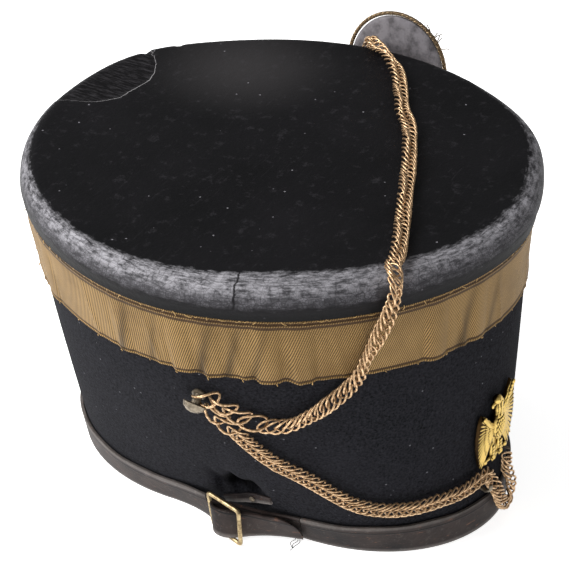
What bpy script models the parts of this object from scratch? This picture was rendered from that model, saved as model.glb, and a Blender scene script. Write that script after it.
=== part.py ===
"""A shako: a stiff cloth-covered hat with a leather top, gold lace, chin chain, badge and cockade.

Metres, +Z up. The wearer faces -Y, so the wearer's left is +X. The hat stands on Z = 0, with the
middle of its whole outline on the origin.
A "turn" is an angle round the hat in degrees: 0 at the front, 90 at the wearer's left.
"""
import math

import bmesh
import bpy
from mathutils import Matrix, Vector

for old in list(bpy.data.objects):
    bpy.data.objects.remove(old, do_unlink=True)

# Body: the outer face of the cloth, measured at the foot and at the shoulder
BASE_LENGTH = 0.2038
BASE_WIDTH = 0.1598
TOP_LENGTH = 0.2192
TOP_WIDTH = 0.2172
SHOULDER_HEIGHT = 0.155
BACKWARD_LEAN = 0.005
SIDE_BELLY = 0.0044
OVAL_POWER = 1.9
BODY_WALL = 0.0028

# Leather, lace and the gap that every piece keeps to the next
GAP = 0.0003
LEATHER = 0.0018
LACE_THICKNESS = 0.0010
CROWN_TOP = 0.158
RIM_ROUND = 0.007
RIM_OVERHANG = 0.0010
FLANGE_DROP = 0.0130
CROWN_SINK = 0.0016
LACE_WIDTH = 0.0314
PUCKER_DEPTH = 0.0022
BAND_HEIGHT = 0.0170

# Brasswork
STUD_RADIUS = 0.0050
STUD_DOME = 0.0036
STUD_NECK_RADIUS = 0.0018
STUD_NECK_LENGTH = 0.0048
STUD_HEIGHT = 0.0993
BUCKLE_WIRE = 0.0010
BUCKLE_FOOT = 0.0015
BUCKLE_HEAD = 0.0203
BUCKLE_CORNER = 0.0018
BUCKLE_STANDOFF = 0.0196
RIVET_RADIUS = 0.0014
RIVET_RISE = 0.0009
CHAIN_RADIUS = 0.0030
HOOK_WIRE = 0.0008
HOOK_TURN = -12.6
HOOK_HEIGHT = 0.0272
PIN_WIRE = 0.0007
PIN_TURN = -0.6
PIN_HEIGHT = 0.0385
PIN_REACH = 0.0055

# Badge and cockade
BADGE_HEIGHT = 0.040
BADGE_SPAN = 0.0275
BADGE_PLATE = 0.0014
BADGE_TURN = -6.6
BADGE_TILT = -4.0
BADGE_FOOT = 0.0372
LOW_WING = 0.82
COCKADE_WIDTH = 0.0514
COCKADE_HEIGHT = 0.0578
COCKADE_CENTRE_Y = 0.0048
COCKADE_CENTRE_Z = 0.1415
COCKADE_CLEARANCE = 0.0104
COCKADE_EDGE = 0.0020
COCKADE_ROPE = 0.00105
COCKADE_PIN_RADIUS = 0.0020
COCKADE_PIN_DROP = 0.0100

# Strap through the buckle
STRAP_FOOT = 0.0027
STRAP_HEAD = 0.0172
TAB_HEIGHT = 0.0050
TAB_LEATHER = 0.0012
BAND_FOOT_LIFT = 0.0075
BAND_HEAD_LIFT = 0.0016
BAND_LIFT_SPREAD = 18.0

# Dents: (name, turn, depth as a share of BASE_WIDTH, spread in degrees,
#         height and reach up and down as shares of SHOULDER_HEIGHT); a bulge has a depth below 0
DENTS = [
    ("cinched side", -87, 0.175, 45.6, 0.0, 0.907),
    ("pinch over the strap", -82, 0.044, 8.0, 0.181, 0.080),
    ("drawn-in front left", 27, 0.011, 24.0, 0.80, 0.75),
    ("flat left side", 92, 0.012, 30.0, 1.0, 0.60),
    ("sprung back left corner", 152, -0.026, 17.0, 1.0, 0.55),
    ("swollen back right", -152, -0.011, 20.0, 0.86, 0.20),
]

# How the rolled rim waves in and out: (turn, share of RIM_OVERHANG, half width in degrees)
RIM_WAVES = [(-152, -1.0, 22.0), (38, 2.6, 15.0), (92, -1.0, 30.0), (152, 1.5, 17.0)]

# Studs: (name, turn, droop and backward lean of its head in degrees)
STUDS = [("stud_right", -82.8, 33.0, 13.0), ("stud_left", 82.8, 0.0, 0.0)]

# Puckers in the lace: (turn, depth as a share of PUCKER_DEPTH, half width in degrees)
PUCKERS = [
    (-128, 0.4, 4.0),
    (-101, 0.4, 3.0),
    (-85, 0.7, 3.5),
    (-78, 0.6, 3.0),
    (-66, 1.0, 3.5),
    (-59, 0.9, 3.5),
    (-30, 0.7, 3.5),
    (-18, 0.4, 3.0),
]

# Dish of the crown: (share of the way out from its centre, sink as a share of CROWN_SINK)
CROWN_DISH = [(0.93, 0.30), (0.82, 0.75), (0.50, 1.0)]

# Route of the strap: (turn, outset of its foot and of its head as shares of BUCKLE_STANDOFF,
#                      head height as a share of the strap's own height)
STRAP_ROUTE = [
    (-63.0, 0.061, 0.061, 1.0),
    (-68.5, 0.173, 0.112, 1.0),
    (-74.0, 0.347, 0.173, 1.0),
    (-80.0, 0.536, 0.214, 1.0),
    (-86.0, 0.653, 0.235, 1.0),
    (-90.5, 0.684, 0.255, 1.0),
    (-93.4, 0.776, 0.347, 1.0),
    (-92.0, 0.908, 0.469, 1.0),
    (-88.5, 0.954, 0.520, 1.0),
    (-84.5, 0.929, 0.510, 1.0),
    (-80.5, 0.806, 0.429, 1.0),
    (-76.5, 0.633, 0.357, 1.0),
    (-72.5, 0.469, 0.306, 1.0),
    (-68.5, 0.337, 0.255, 0.98),
    (-65.5, 0.265, 0.235, 0.88),
    (-63.3, 0.224, 0.214, 0.62),
    (-61.8, 0.204, 0.204, 0.24),
]

# Route of the tab: (turn, outset as a share of TAB_LEATHER, foot as a share of STRAP_HEAD)
TAB_ROUTE = [(-90.0, 1.25, 0.80), (-84.0, 1.30, 0.95), (-78.0, 1.40, 1.13), (-71.0, 1.25, 1.34)]
RIVET_PLACE = 0.6

# Corners of the buckle: (end, turn, outset as a share of BUCKLE_STANDOFF)
BUCKLE_CORNERS = [("foot", -95.8, 0.612), ("head", -95.0, 0.184),
                  ("head", -79.2, 0.571), ("foot", -78.0, 1.0)]

# Routes of the two runs of the chin chain: (what it lies on, turn, height), and on the crown
# (what it lies on, share of the half width to the left, share of the half length to the back)
CHAIN_OVER_ROUTE = [
    ("cloth", -78.8, 0.1003),
    ("cloth", -76.0, 0.0965),
    ("cloth", -72.0, 0.0905),
    ("cloth", -67.5, 0.0877),
    ("cloth", -63.0, 0.0882),
    ("cloth", -59.0, 0.0928),
    ("cloth", -54.5, 0.1000),
    ("cloth", -50.5, 0.1075),
    ("lace", -48.0, 0.1155),
    ("lace", -46.3, 0.1250),
    ("lace", -44.3, 0.1340),
    ("leather", -42.3, 0.1430),
    ("rim", -41.3, 5),
    ("rim", -40.6, 35),
    ("rim", -40.0, 62),
    ("rim", -39.2, 88),
    ("crown", -0.512, -0.722),
    ("crown", -0.399, -0.683),
    ("crown", -0.283, -0.639),
    ("crown", -0.164, -0.594),
    ("crown", -0.041, -0.548),
    ("crown", 0.086, -0.501),
    ("crown", 0.242, -0.436),
    ("crown", 0.373, -0.374),
    ("crown", 0.475, -0.304),
    ("crown", 0.610, -0.235),
    ("crown", 0.750, -0.160),
    ("crown", 0.860, -0.066),
    ("rim", 93.2, 86),
    ("rim", 94.4, 60),
    ("rim", 95.4, 32),
    ("rim", 96.2, 5),
    ("leather", 96.4, 0.1440),
    ("lace", 96.2, 0.1340),
    ("lace", 95.0, 0.1230),
    ("lace", 93.0, 0.1130),
    ("cloth", 90.2, 0.1060),
    ("cloth", 87.0, 0.1010),
]
CHAIN_FRONT_ROUTE = [
    ("cloth", -78.2, 0.0882),
    ("cloth", -76.5, 0.0850),
    ("cloth", -73.5, 0.0765),
    ("cloth", -70.5, 0.0690),
    ("cloth", -66.5, 0.0615),
    ("cloth", -62.0, 0.0560),
    ("cloth", -58.0, 0.0505),
    ("cloth", -54.0, 0.0440),
    ("cloth", -49.5, 0.0375),
    ("cloth", -44.5, 0.0330),
    ("cloth", -38.5, 0.0308),
    ("cloth", -32.0, 0.0305),
    ("cloth", -26.0, 0.0312),
    ("cloth", -20.0, 0.0315),
    ("cloth", -16.0, 0.0326),
    ("cloth", -13.2, 0.0336),
    ("cloth", -10.6, 0.0328),
    ("cloth", -8.6, 0.0282),
    ("leather", -6.8, 0.0218),
    ("leather", -4.6, 0.0150),
    ("leather", -1.8, 0.0096),
    ("leather", 1.0, 0.0076),
    ("leather", 2.9, 0.0100),
    ("leather", 3.0, 0.0165),
    ("cloth", 2.2, 0.0240),
    ("cloth", 0.9, 0.0308),
    ("cloth", -0.4, 0.0360),
]

# Half of the badge's wing: (out from the middle as a share of the half span, up from the
# foot as a share of the badge's height), round the plate from its root
WING_OUTLINE = [
    (0.12, 0.70), (0.38, 0.74), (0.60, 0.86), (0.76, 0.97), (0.86, 0.92), (0.94, 0.78),
    (1.00, 0.60), (0.98, 0.42), (0.90, 0.27), (0.84, 0.13), (0.72, 0.05), (0.58, 0.14),
    (0.44, 0.24), (0.30, 0.32), (0.12, 0.36),
]

# Rounded masses of the badge: (name, across, up, out, half width, half depth, half height),
# across as shares of the half span, up and half height as shares of its height, the rest as
# shares of the span
BADGE_MASSES = [
    ("breast", 0.00, 0.52, 0.075, 0.150, 0.105, 0.172),
    ("neck", -0.05, 0.76, 0.080, 0.085, 0.080, 0.110),
    ("head", -0.10, 0.90, 0.085, 0.090, 0.075, 0.058),
    ("beak", -0.27, 0.87, 0.080, 0.070, 0.035, 0.024),
    ("left leg", 0.20, 0.20, 0.055, 0.060, 0.055, 0.110),
    ("right leg", -0.20, 0.20, 0.055, 0.060, 0.055, 0.110),
    ("tail", 0.00, 0.22, 0.035, 0.110, 0.030, 0.186),
    ("perch", 0.00, 0.10, 0.060, 0.300, 0.045, 0.031),
]

STRAP_STEPS = 40
TAB_STEPS = 10
CHAIN_STEP = 2.5 * CHAIN_RADIUS * 2
CHAIN_SAG = 0.05 * CHAIN_RADIUS
CROWN_FLAT = 1 - 2 * RIM_ROUND / TOP_WIDTH
FLANGE_FOOT = CROWN_TOP - FLANGE_DROP
LACE_HEAD = FLANGE_FOOT - GAP
LACE_FOOT = LACE_HEAD - LACE_WIDTH
STEPS_ROUND = 72


def finish(name, colour, roughness, metallic):
    """A plain material of one colour."""
    material = bpy.data.materials.new(name)
    material.use_nodes = True
    shader = material.node_tree.nodes["Principled BSDF"]
    shader.inputs["Base Color"].default_value = (*colour, 1.0)
    shader.inputs["Roughness"].default_value = roughness
    shader.inputs["Metallic"].default_value = metallic
    return material


CLOTH = finish("wool_cloth", (0.012, 0.013, 0.018), 0.95, 0.0)
BLACK_LEATHER = finish("lacquered_leather", (0.014, 0.014, 0.015), 0.45, 0.0)
BROWN_LEATHER = finish("strap_leather", (0.030, 0.024, 0.021), 0.60, 0.0)
GOLD_LACE = finish("gold_lace", (0.250, 0.170, 0.065), 0.60, 0.3)
GILT = finish("gilt_brass", (0.700, 0.480, 0.140), 0.30, 1.0)
BRONZE = finish("chain_bronze", (0.480, 0.300, 0.140), 0.35, 1.0)
BULLION = finish("bullion_wire", (0.300, 0.210, 0.120), 0.50, 0.6)
GREY_METAL = finish("grey_bronze", (0.180, 0.160, 0.130), 0.40, 0.9)


def mix(low, high, share):
    return low + (high - low) * share


def swing(turn, middle):
    """Degrees from one turn to another, from -180 to 180."""
    return (turn - middle + 180.0) % 360.0 - 180.0


def dent_depth(turn, height):
    """How far the wall is pushed in at this turn and height."""
    depth = 0.0
    for _, middle, share, spread, level, reach in DENTS:
        away = swing(turn, middle)
        rise = abs(height / SHOULDER_HEIGHT - level) / reach
        depth += share * BASE_WIDTH * math.exp(-(away / spread) ** 2) * max(0.0, 1.0 - rise) ** 1.5
    return depth


def outline(turn, height):
    """The cloth's outer face: a soft oval that widens upwards, less its dents."""
    share = height / SHOULDER_HEIGHT
    half_length = mix(BASE_LENGTH, TOP_LENGTH, share) / 2
    half_width = mix(BASE_WIDTH, TOP_WIDTH, share) / 2 + SIDE_BELLY * 4 * share * (1 - share)
    front, left = math.cos(math.radians(turn)), math.sin(math.radians(turn))
    along = half_length * math.copysign(abs(front) ** (2 / OVAL_POWER), front)
    across = half_width * math.copysign(abs(left) ** (2 / OVAL_POWER), left)
    kept = 1 - dent_depth(turn, height) / math.hypot(along, across)
    return Vector((across * kept, -along * kept + BACKWARD_LEAN * share, height))


def outward(turn, height):
    """The level direction square to the wall."""
    along = outline(turn + 0.5, height) - outline(turn - 0.5, height)
    return Vector((along.y, -along.x, 0.0)).normalized()


def wall_point(turn, height, outset):
    return outline(turn, height) + outward(turn, height) * outset


def even_turns(count):
    return [360.0 * step / count - 180.0 for step in range(count)]


def fine_turns(start, end):
    """Even turns, with twice as many from start to end."""
    step = 180.0 / STEPS_ROUND
    extra = [start + step * (2 * place + 1) for place in range(int((end - start) / (2 * step)))]
    return sorted(even_turns(STEPS_ROUND) + extra)


def add_object(name, mesh_data, material, sharp_angle=None):
    """Turn a bmesh into a named object with its faces pointing out."""
    bmesh.ops.recalc_face_normals(mesh_data, faces=mesh_data.faces)
    mesh = bpy.data.meshes.new(name)
    mesh_data.to_mesh(mesh)
    mesh_data.free()
    mesh.materials.append(material)
    part = bpy.data.objects.new(name, mesh)
    bpy.context.collection.objects.link(part)
    if sharp_angle:
        mesh.shade_smooth()
        mesh.set_sharp_from_angle(angle=math.radians(sharp_angle))
    return part


def join_rows(mesh_data, rows, closed_rows=True, closed_stack=False):
    """Quads between neighbouring rows of points."""
    stack = [[mesh_data.verts.new(point) for point in row] for row in rows]
    count = len(stack[0])
    spans = count if closed_rows else count - 1
    pairs = list(zip(stack, stack[1:]))
    if closed_stack:
        pairs.append((stack[-1], stack[0]))
    for lower, upper in pairs:
        for step in range(spans):
            after = (step + 1) % count
            mesh_data.faces.new((lower[step], lower[after], upper[after], upper[step]))
    return stack


def close_with_pole(mesh_data, row, point):
    """A fan of triangles from a ring to one point."""
    pole = mesh_data.verts.new(point)
    for step, corner in enumerate(row):
        mesh_data.faces.new((corner, row[(step + 1) % len(row)], pole))


def wall_row(turns, height, outset):
    return [wall_point(turn, height, outset) for turn in turns]


def smooth_curve(points):
    """Close-set points on a smooth curve through the given ones."""
    padded = [points[0] * 2 - points[1]] + points + [points[-1] * 2 - points[-2]]
    fine = []
    pieces = 16
    for before, start, end, after in zip(padded, padded[1:], padded[2:], padded[3:]):
        for piece in range(pieces):
            share = piece / pieces
            fine.append(0.5 * (2 * start + (end - before) * share
                               + (2 * before - 5 * start + 4 * end - after) * share ** 2
                               + (3 * start - before - 3 * end + after) * share ** 3))
    fine.append(points[-1])
    return fine


def even_path(points, steps):
    """A set number of equal steps along the smooth curve."""
    fine = smooth_curve(points)
    travel = [0.0]
    for start, end in zip(fine, fine[1:]):
        travel.append(travel[-1] + (end - start).length)
    path = []
    place = 0
    for step in range(steps + 1):
        target = travel[-1] * step / steps
        while place < len(fine) - 2 and travel[place + 1] < target:
            place += 1
        share = (target - travel[place]) / (travel[place + 1] - travel[place])
        path.append(fine[place].lerp(fine[place + 1], share))
    return path


def sag(fine, start, end):
    """How far the curve leaves the straight line between two of its points."""
    way = (fine[end] - fine[start]).normalized()
    return max((point - fine[start]).cross(way).length for point in fine[start:end + 1])


def easy_path(points, longest, most_sag):
    """Long steps where the curve runs straight and short ones where it bends."""
    fine = smooth_curve(points)
    path = [fine[0]]
    start = 0
    while start < len(fine) - 1:
        end = start + 1
        while (end < len(fine) - 1 and (fine[end + 1] - fine[start]).length < longest
               and sag(fine, start, end + 1) < most_sag):
            end += 1
        path.append(fine[end])
        start = end
    if len(path) > 2 and (path[-1] - path[-2]).length < longest / 4:
        path.pop(-2)
    return path


def tube(name, points, radius, material, cyclic=False, radii=None):
    """A round rod or tube along a list of points."""
    curve = bpy.data.curves.new(name, "CURVE")
    curve.dimensions = "3D"
    curve.bevel_depth = radius
    curve.bevel_resolution = 2
    curve.use_fill_caps = not cyclic
    spline = curve.splines.new("POLY")
    spline.points.add(len(points) - 1)
    for step, point in enumerate(points):
        spline.points[step].co = (*point, 1.0)
        spline.points[step].radius = radii[step] if radii else 1.0
    spline.use_cyclic_u = cyclic
    curve.materials.append(material)
    part = bpy.data.objects.new(name, curve)
    bpy.context.collection.objects.link(part)
    return part


def make_cloth_body():
    """The stiff wall covered in cloth, open at its foot and closed above by the crown."""
    turns = fine_turns(-110.0, -60.0)
    outer_shares = [0.0, 0.06, 0.11, 0.145, 0.181, 0.216, 0.258, 0.387, 0.548]
    inner_shares = [0.742, 0.452, 0.258, 0.181, 0.077, 0.0]
    head = CROWN_TOP - RIM_ROUND
    rows = [wall_row(turns, share * SHOULDER_HEIGHT, 0.0) for share in outer_shares]
    rows += [wall_row(turns, height, 0.0) for height in (LACE_FOOT, mix(LACE_FOOT, LACE_HEAD, 0.5))]
    rows.append(wall_row(turns, head, 0.0))
    rows.append(wall_row(turns, head, -BODY_WALL))
    rows += [wall_row(turns, share * SHOULDER_HEIGHT, -BODY_WALL) for share in inner_shares]
    mesh_data = bmesh.new()
    join_rows(mesh_data, rows, closed_stack=True)
    return add_object("cloth_body", mesh_data, CLOTH, 40)


def overhang(turn):
    """How far the rolled rim stands out over its own flange."""
    waves = sum(share * math.exp(-(swing(turn, middle) / half_width) ** 2)
                for middle, share, half_width in RIM_WAVES)
    return RIM_OVERHANG * (1.0 + waves)


def rim_point(turn, angle, lift):
    """A point on or off the rolled rim: angle 0 faces out, 90 faces up."""
    reach = RIM_ROUND + lift
    slope = math.radians(angle)
    height = CROWN_TOP - RIM_ROUND
    centre = GAP + LEATHER + overhang(turn) - RIM_ROUND
    point = wall_point(turn, height, centre + reach * math.cos(slope))
    point.z = height + reach * math.sin(slope)
    return point


def crown_middle():
    return Vector((0.0, BACKWARD_LEAN * CROWN_TOP / SHOULDER_HEIGHT, CROWN_TOP))


def crown_drop(share):
    """How deep the dish is this far out."""
    for (outer, shallow), (inner, deep) in zip([(1.0, 0.0)] + CROWN_DISH, CROWN_DISH):
        if share > inner:
            return CROWN_SINK * mix(deep, shallow, min(1.0, (share - inner) / (outer - inner)))
    return CROWN_SINK * CROWN_DISH[-1][1]


def make_crown_top():
    """The leather top: a slightly sunken disc with a rolled rim and a flange down the wall."""
    turns = even_turns(STEPS_ROUND)
    middle = crown_middle()
    outer = [wall_row(turns, FLANGE_FOOT, GAP + LEATHER)]
    outer += [[rim_point(turn, angle, 0.0) for turn in turns] for angle in (0, 30, 60, 90)]
    inner = [wall_row(turns, FLANGE_FOOT, GAP)]
    inner += [[rim_point(turn, angle, -LEATHER) for turn in turns] for angle in (0, 30, 60, 90)]
    for share, sink in CROWN_DISH:
        drop = Vector((0.0, 0.0, CROWN_SINK * sink))
        outer.append([middle.lerp(point, share) - drop for point in outer[4]])
        floor = middle - Vector((0.0, 0.0, LEATHER))
        inner.append([floor.lerp(point, share) - drop for point in inner[4]])
    rows = outer[::-1] + inner
    mesh_data = bmesh.new()
    stack = join_rows(mesh_data, rows)
    sunk = Vector((0.0, 0.0, CROWN_SINK * CROWN_DISH[-1][1]))
    close_with_pole(mesh_data, stack[0], middle - sunk)
    close_with_pole(mesh_data, stack[-1], middle - sunk - Vector((0.0, 0.0, LEATHER)))
    return add_object("crown_top", mesh_data, BLACK_LEATHER, 50)


def pucker(turn, share_up):
    """How far the lace stands off: most at its foot, none at its sewn head."""
    rise = 0.0
    for middle, share, half_width in PUCKERS:
        rise += share * PUCKER_DEPTH * math.exp(-(swing(turn, middle) / half_width) ** 2)
    return rise * math.sin(math.pi * mix(0.45, 1.0, share_up))


def make_lace_band():
    """A wide gold lace round the top of the wall, puckered where its stitches have gone."""
    turns = fine_turns(-110.0, -10.0)
    rows = []
    for side, shares in ((LACE_THICKNESS, (0.0, 0.5, 1.0)), (0.0, (1.0, 0.5, 0.0))):
        for share in shares:
            height = mix(LACE_FOOT, LACE_HEAD, share)
            rows.append([wall_point(turn, height, GAP + side + pucker(turn, share))
                         for turn in turns])
    mesh_data = bmesh.new()
    join_rows(mesh_data, rows, closed_stack=True)
    return add_object("lace_band", mesh_data, GOLD_LACE, 40)


def make_ribbon(name, sections, material):
    """A strap from a list of four-cornered sections, closed at both ends."""
    mesh_data = bmesh.new()
    stack = join_rows(mesh_data, sections)
    mesh_data.faces.new(stack[0][::-1])
    mesh_data.faces.new(stack[-1])
    return add_object(name, mesh_data, material, 40)


def make_base_band():
    """The leather band round the foot, lifted at one end where it runs out to the buckle."""
    start, end = STRAP_ROUTE[0][0] + 0.3, 360.0 + BUCKLE_CORNERS[0][1] - 1.2
    sections = []
    for step in range(STEPS_ROUND + 1):
        turn = mix(start, end, step / STEPS_ROUND)
        lift = max(0.0, 1.0 - (end - turn) / BAND_LIFT_SPREAD) ** 2
        foot, head = GAP + BAND_FOOT_LIFT * lift, GAP + BAND_HEAD_LIFT * lift
        sections.append([wall_point(turn, 0.0, foot), wall_point(turn, 0.0, foot + LEATHER),
                         wall_point(turn, BAND_HEIGHT, head + LEATHER),
                         wall_point(turn, BAND_HEIGHT, head)])
    return make_ribbon("base_band", sections, BROWN_LEATHER)


def ribbon_sections(feet, heads, thickness):
    """Sections along two lines of points, a foot line and a head line."""
    sections = []
    for step, (foot, head) in enumerate(zip(feet, heads)):
        before, after = max(0, step - 1), min(len(feet) - 1, step + 1)
        run = (feet[after] + heads[after]) - (feet[before] + heads[before])
        side = Vector((run.y, -run.x, 0.0)).normalized() * (thickness / 2)
        sections.append([foot - side, foot + side, head + side, head - side])
    return sections


def make_cinch_strap():
    """The strap's free end: out to the buckle, round inside its frame and back to a point."""
    feet, heads = [], []
    for turn, foot_share, head_share, height_share in STRAP_ROUTE:
        foot = wall_point(turn, STRAP_FOOT, foot_share * BUCKLE_STANDOFF)
        head = wall_point(turn, STRAP_HEAD, head_share * BUCKLE_STANDOFF)
        feet.append(foot)
        heads.append(foot.lerp(head, height_share))
    sections = ribbon_sections(even_path(feet, STRAP_STEPS), even_path(heads, STRAP_STEPS), LEATHER)
    return make_ribbon("cinch_strap", sections, BROWN_LEATHER)


def tab_line(rise):
    """The tab's foot line, or a line at some rise above it."""
    points = [wall_point(turn, foot_share * STRAP_HEAD + rise, share * TAB_LEATHER)
              for turn, share, foot_share in TAB_ROUTE]
    return even_path(points, TAB_STEPS)


def make_strap_tab():
    """A narrow leather tab that climbs out from behind the strap into the pinch."""
    sections = ribbon_sections(tab_line(0.0), tab_line(TAB_HEIGHT), TAB_LEATHER)
    return make_ribbon("strap_tab", sections, BROWN_LEATHER)


def lathe(name, profile, material, sides=16, bends=None):
    """A turned piece about -Y, from rows of (radius, distance out), solid from end to end.

    Bends are a turn of the axis for each row, so that a shank may lean.
    """
    mesh_data = bmesh.new()
    bends = bends or [Matrix.Identity(3)] * len(profile)
    centre = Vector((0.0, -profile[0][1], 0.0))
    reached = profile[0][1]
    centres, rows = [], []
    for (radius, out), bend in zip(profile, bends):
        centre = centre + bend @ Vector((0.0, reached - out, 0.0))
        reached = out
        centres.append(centre)
        rows.append([centre + bend @ Vector((radius * math.cos(2 * math.pi * step / sides), 0.0,
                                             radius * math.sin(2 * math.pi * step / sides)))
                     for step in range(sides)])
    stack = join_rows(mesh_data, rows)
    close_with_pole(mesh_data, stack[0], centres[0])
    close_with_pole(mesh_data, stack[-1], centres[-1])
    return add_object(name, mesh_data, material, 45)


def place_on_wall(part, turn, height, outset):
    """Turn a piece so that its -Y points squarely away from the sloping wall, and set it there."""
    along = outline(turn + 0.5, height) - outline(turn - 0.5, height)
    rise = outline(turn, height + 0.001) - outline(turn, height - 0.001)
    out = along.cross(rise).normalized()
    up = (Vector((0.0, 0.0, 1.0)) - out * out.z).normalized()
    axes = Matrix((up.cross(-out) * -1, -out, up)).transposed()
    part.matrix_world = Matrix.Translation(outline(turn, height) + out * outset) @ axes.to_4x4()


def make_stud(name, turn, droop, lean):
    """A domed chain stud on a short neck, which may be bent down and back by the chain."""
    dome = [(STUD_RADIUS * math.cos(math.radians(a)),
             STUD_NECK_LENGTH + STUD_DOME * math.sin(math.radians(a))) for a in (0, 30, 60, 82)]
    foot_radius = 0.6 * STUD_RADIUS
    foot_depth = 0.15 * STUD_NECK_LENGTH
    neck = [(STUD_NECK_RADIUS, STUD_NECK_LENGTH * share) for share in (0.25, 0.48, 0.70, 0.92)]
    profile = [(foot_radius, 0.0), (foot_radius, foot_depth)] + neck + dome
    bends = []
    for share in [0.0, 0.0, 0.0, 0.35, 0.7, 1.0] + [1.0] * len(dome):
        down = Matrix.Rotation(math.radians(droop * share), 3, "X")
        back = Matrix.Rotation(math.radians(-lean * share), 3, "Z")
        bends.append(back @ down)
    stud = lathe(name, profile, GREY_METAL, bends=bends)
    place_on_wall(stud, turn, STUD_HEIGHT, GAP)
    return stud


def make_tab_rivet():
    dome = [(RIVET_RADIUS * math.cos(math.radians(a)), RIVET_RISE * math.sin(math.radians(a)))
            for a in (0, 35, 70)]
    rivet = lathe("tab_rivet", dome, GREY_METAL, 12)
    low, high = tab_line(0.0), tab_line(TAB_HEIGHT)
    place = round(RIVET_PLACE * TAB_STEPS)
    run = low[place + 1] - low[place - 1]
    rise = high[place] - low[place]
    way = run.cross(rise).normalized()
    if way.dot(outward(TAB_ROUTE[1][0], STRAP_HEAD)) < 0:
        way = -way
    seat = (low[place] + high[place]) / 2 + way * (TAB_LEATHER / 2 + 2 * GAP)
    turned = Vector((0.0, -1.0, 0.0)).rotation_difference(way).to_matrix().to_4x4()
    rivet.matrix_world = Matrix.Translation(seat) @ turned
    return rivet


def make_buckle_frame():
    """A frame of round wire with rounded corners, hanging straight down."""
    level = {"foot": BUCKLE_FOOT, "head": BUCKLE_HEAD}
    corners = [wall_point(turn, level[end], share * BUCKLE_STANDOFF)
               for end, turn, share in BUCKLE_CORNERS]
    points = []
    for place, corner in enumerate(corners):
        to_last = (corners[place - 1] - corner).normalized() * BUCKLE_CORNER
        to_next = (corners[(place + 1) % 4] - corner).normalized() * BUCKLE_CORNER
        points.append(corner + to_last)
        points.append(corner + (to_last + to_next) * 0.29)
        points.append(corner + to_next)
    return tube("buckle_frame", points, BUCKLE_WIRE, GILT, cyclic=True)


def chain_point(row):
    """Where the middle of the chain lies for one row of its route."""
    under, first, second = row
    lift = CHAIN_RADIUS + GAP + CHAIN_SAG
    if under == "crown":
        lift -= crown_drop(math.hypot(first, second) / CROWN_FLAT)
        return crown_middle() + Vector((first * TOP_WIDTH / 2, second * TOP_LENGTH / 2, lift))
    if under == "rim":
        return rim_point(first, second, lift)
    thickness = {"cloth": 0.0, "lace": GAP + LACE_THICKNESS + 0.2 * PUCKER_DEPTH,
                 "leather": GAP + LEATHER}[under]
    return wall_point(first, second, thickness + lift)


def make_chain(name, route):
    """A run of chin chain as one tube of its thickness."""
    points = easy_path([chain_point(row) for row in route], CHAIN_STEP, CHAIN_SAG)
    return tube(name, points, CHAIN_RADIUS, BRONZE)


def make_chain_hook():
    """A wire hook under the badge that holds the chain up."""
    out = 2 * (CHAIN_RADIUS + GAP) + GAP + HOOK_WIRE
    up = 1.6 * CHAIN_RADIUS
    rows = [(HOOK_WIRE * 0.3 + GAP, 0.0), (0.35 * out, 0.0), (0.75 * out, 0.0),
            (0.93 * out, 0.18 * up), (out + HOOK_WIRE, 0.5 * up), (out + HOOK_WIRE, up)]
    points = []
    for reach, rise in rows:
        point = wall_point(HOOK_TURN, HOOK_HEIGHT, reach)
        points.append(point + Vector((0.0, 0.0, rise)))
    return tube("chain_hook", points, HOOK_WIRE, GREY_METAL)


def make_end_pin():
    """A pointed pin beside the badge that holds the chain's last link."""
    points = [wall_point(PIN_TURN, PIN_HEIGHT, reach) for reach in
              (GAP, 0.5 * PIN_REACH, 0.8 * PIN_REACH, PIN_REACH)]
    return tube("end_pin", points, PIN_WIRE, GREY_METAL, radii=[1.0, 1.0, 0.7, 0.25])


def wing_plate(side, rise):
    """One raised wing as a plate, its height a share of the table's."""
    mesh_data = bmesh.new()
    outline_points = [(side * out * BADGE_SPAN / 2, up * rise * BADGE_HEIGHT)
                      for out, up in WING_OUTLINE]
    back = [Vector((x, 0.0, z)) for x, z in outline_points]
    front = [Vector((x, -BADGE_PLATE * 1.4, z)) for x, z in outline_points]
    stack = join_rows(mesh_data, [back, front])
    mesh_data.faces.new(stack[0])
    mesh_data.faces.new(stack[1][::-1])
    return add_object("wing", mesh_data, GILT)


def rounded_mass(across, up, out, half_width, half_depth, half_height):
    mesh_data = bmesh.new()
    bmesh.ops.create_uvsphere(mesh_data, u_segments=10, v_segments=6, radius=1.0)
    size = Matrix.Diagonal((half_width * BADGE_SPAN, half_depth * BADGE_SPAN,
                            half_height * BADGE_HEIGHT, 1.0))
    place = Matrix.Translation((across * BADGE_SPAN / 2, -out * BADGE_SPAN, up * BADGE_HEIGHT))
    bmesh.ops.transform(mesh_data, matrix=place @ size, verts=mesh_data.verts)
    return add_object("mass", mesh_data, GILT)


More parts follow.
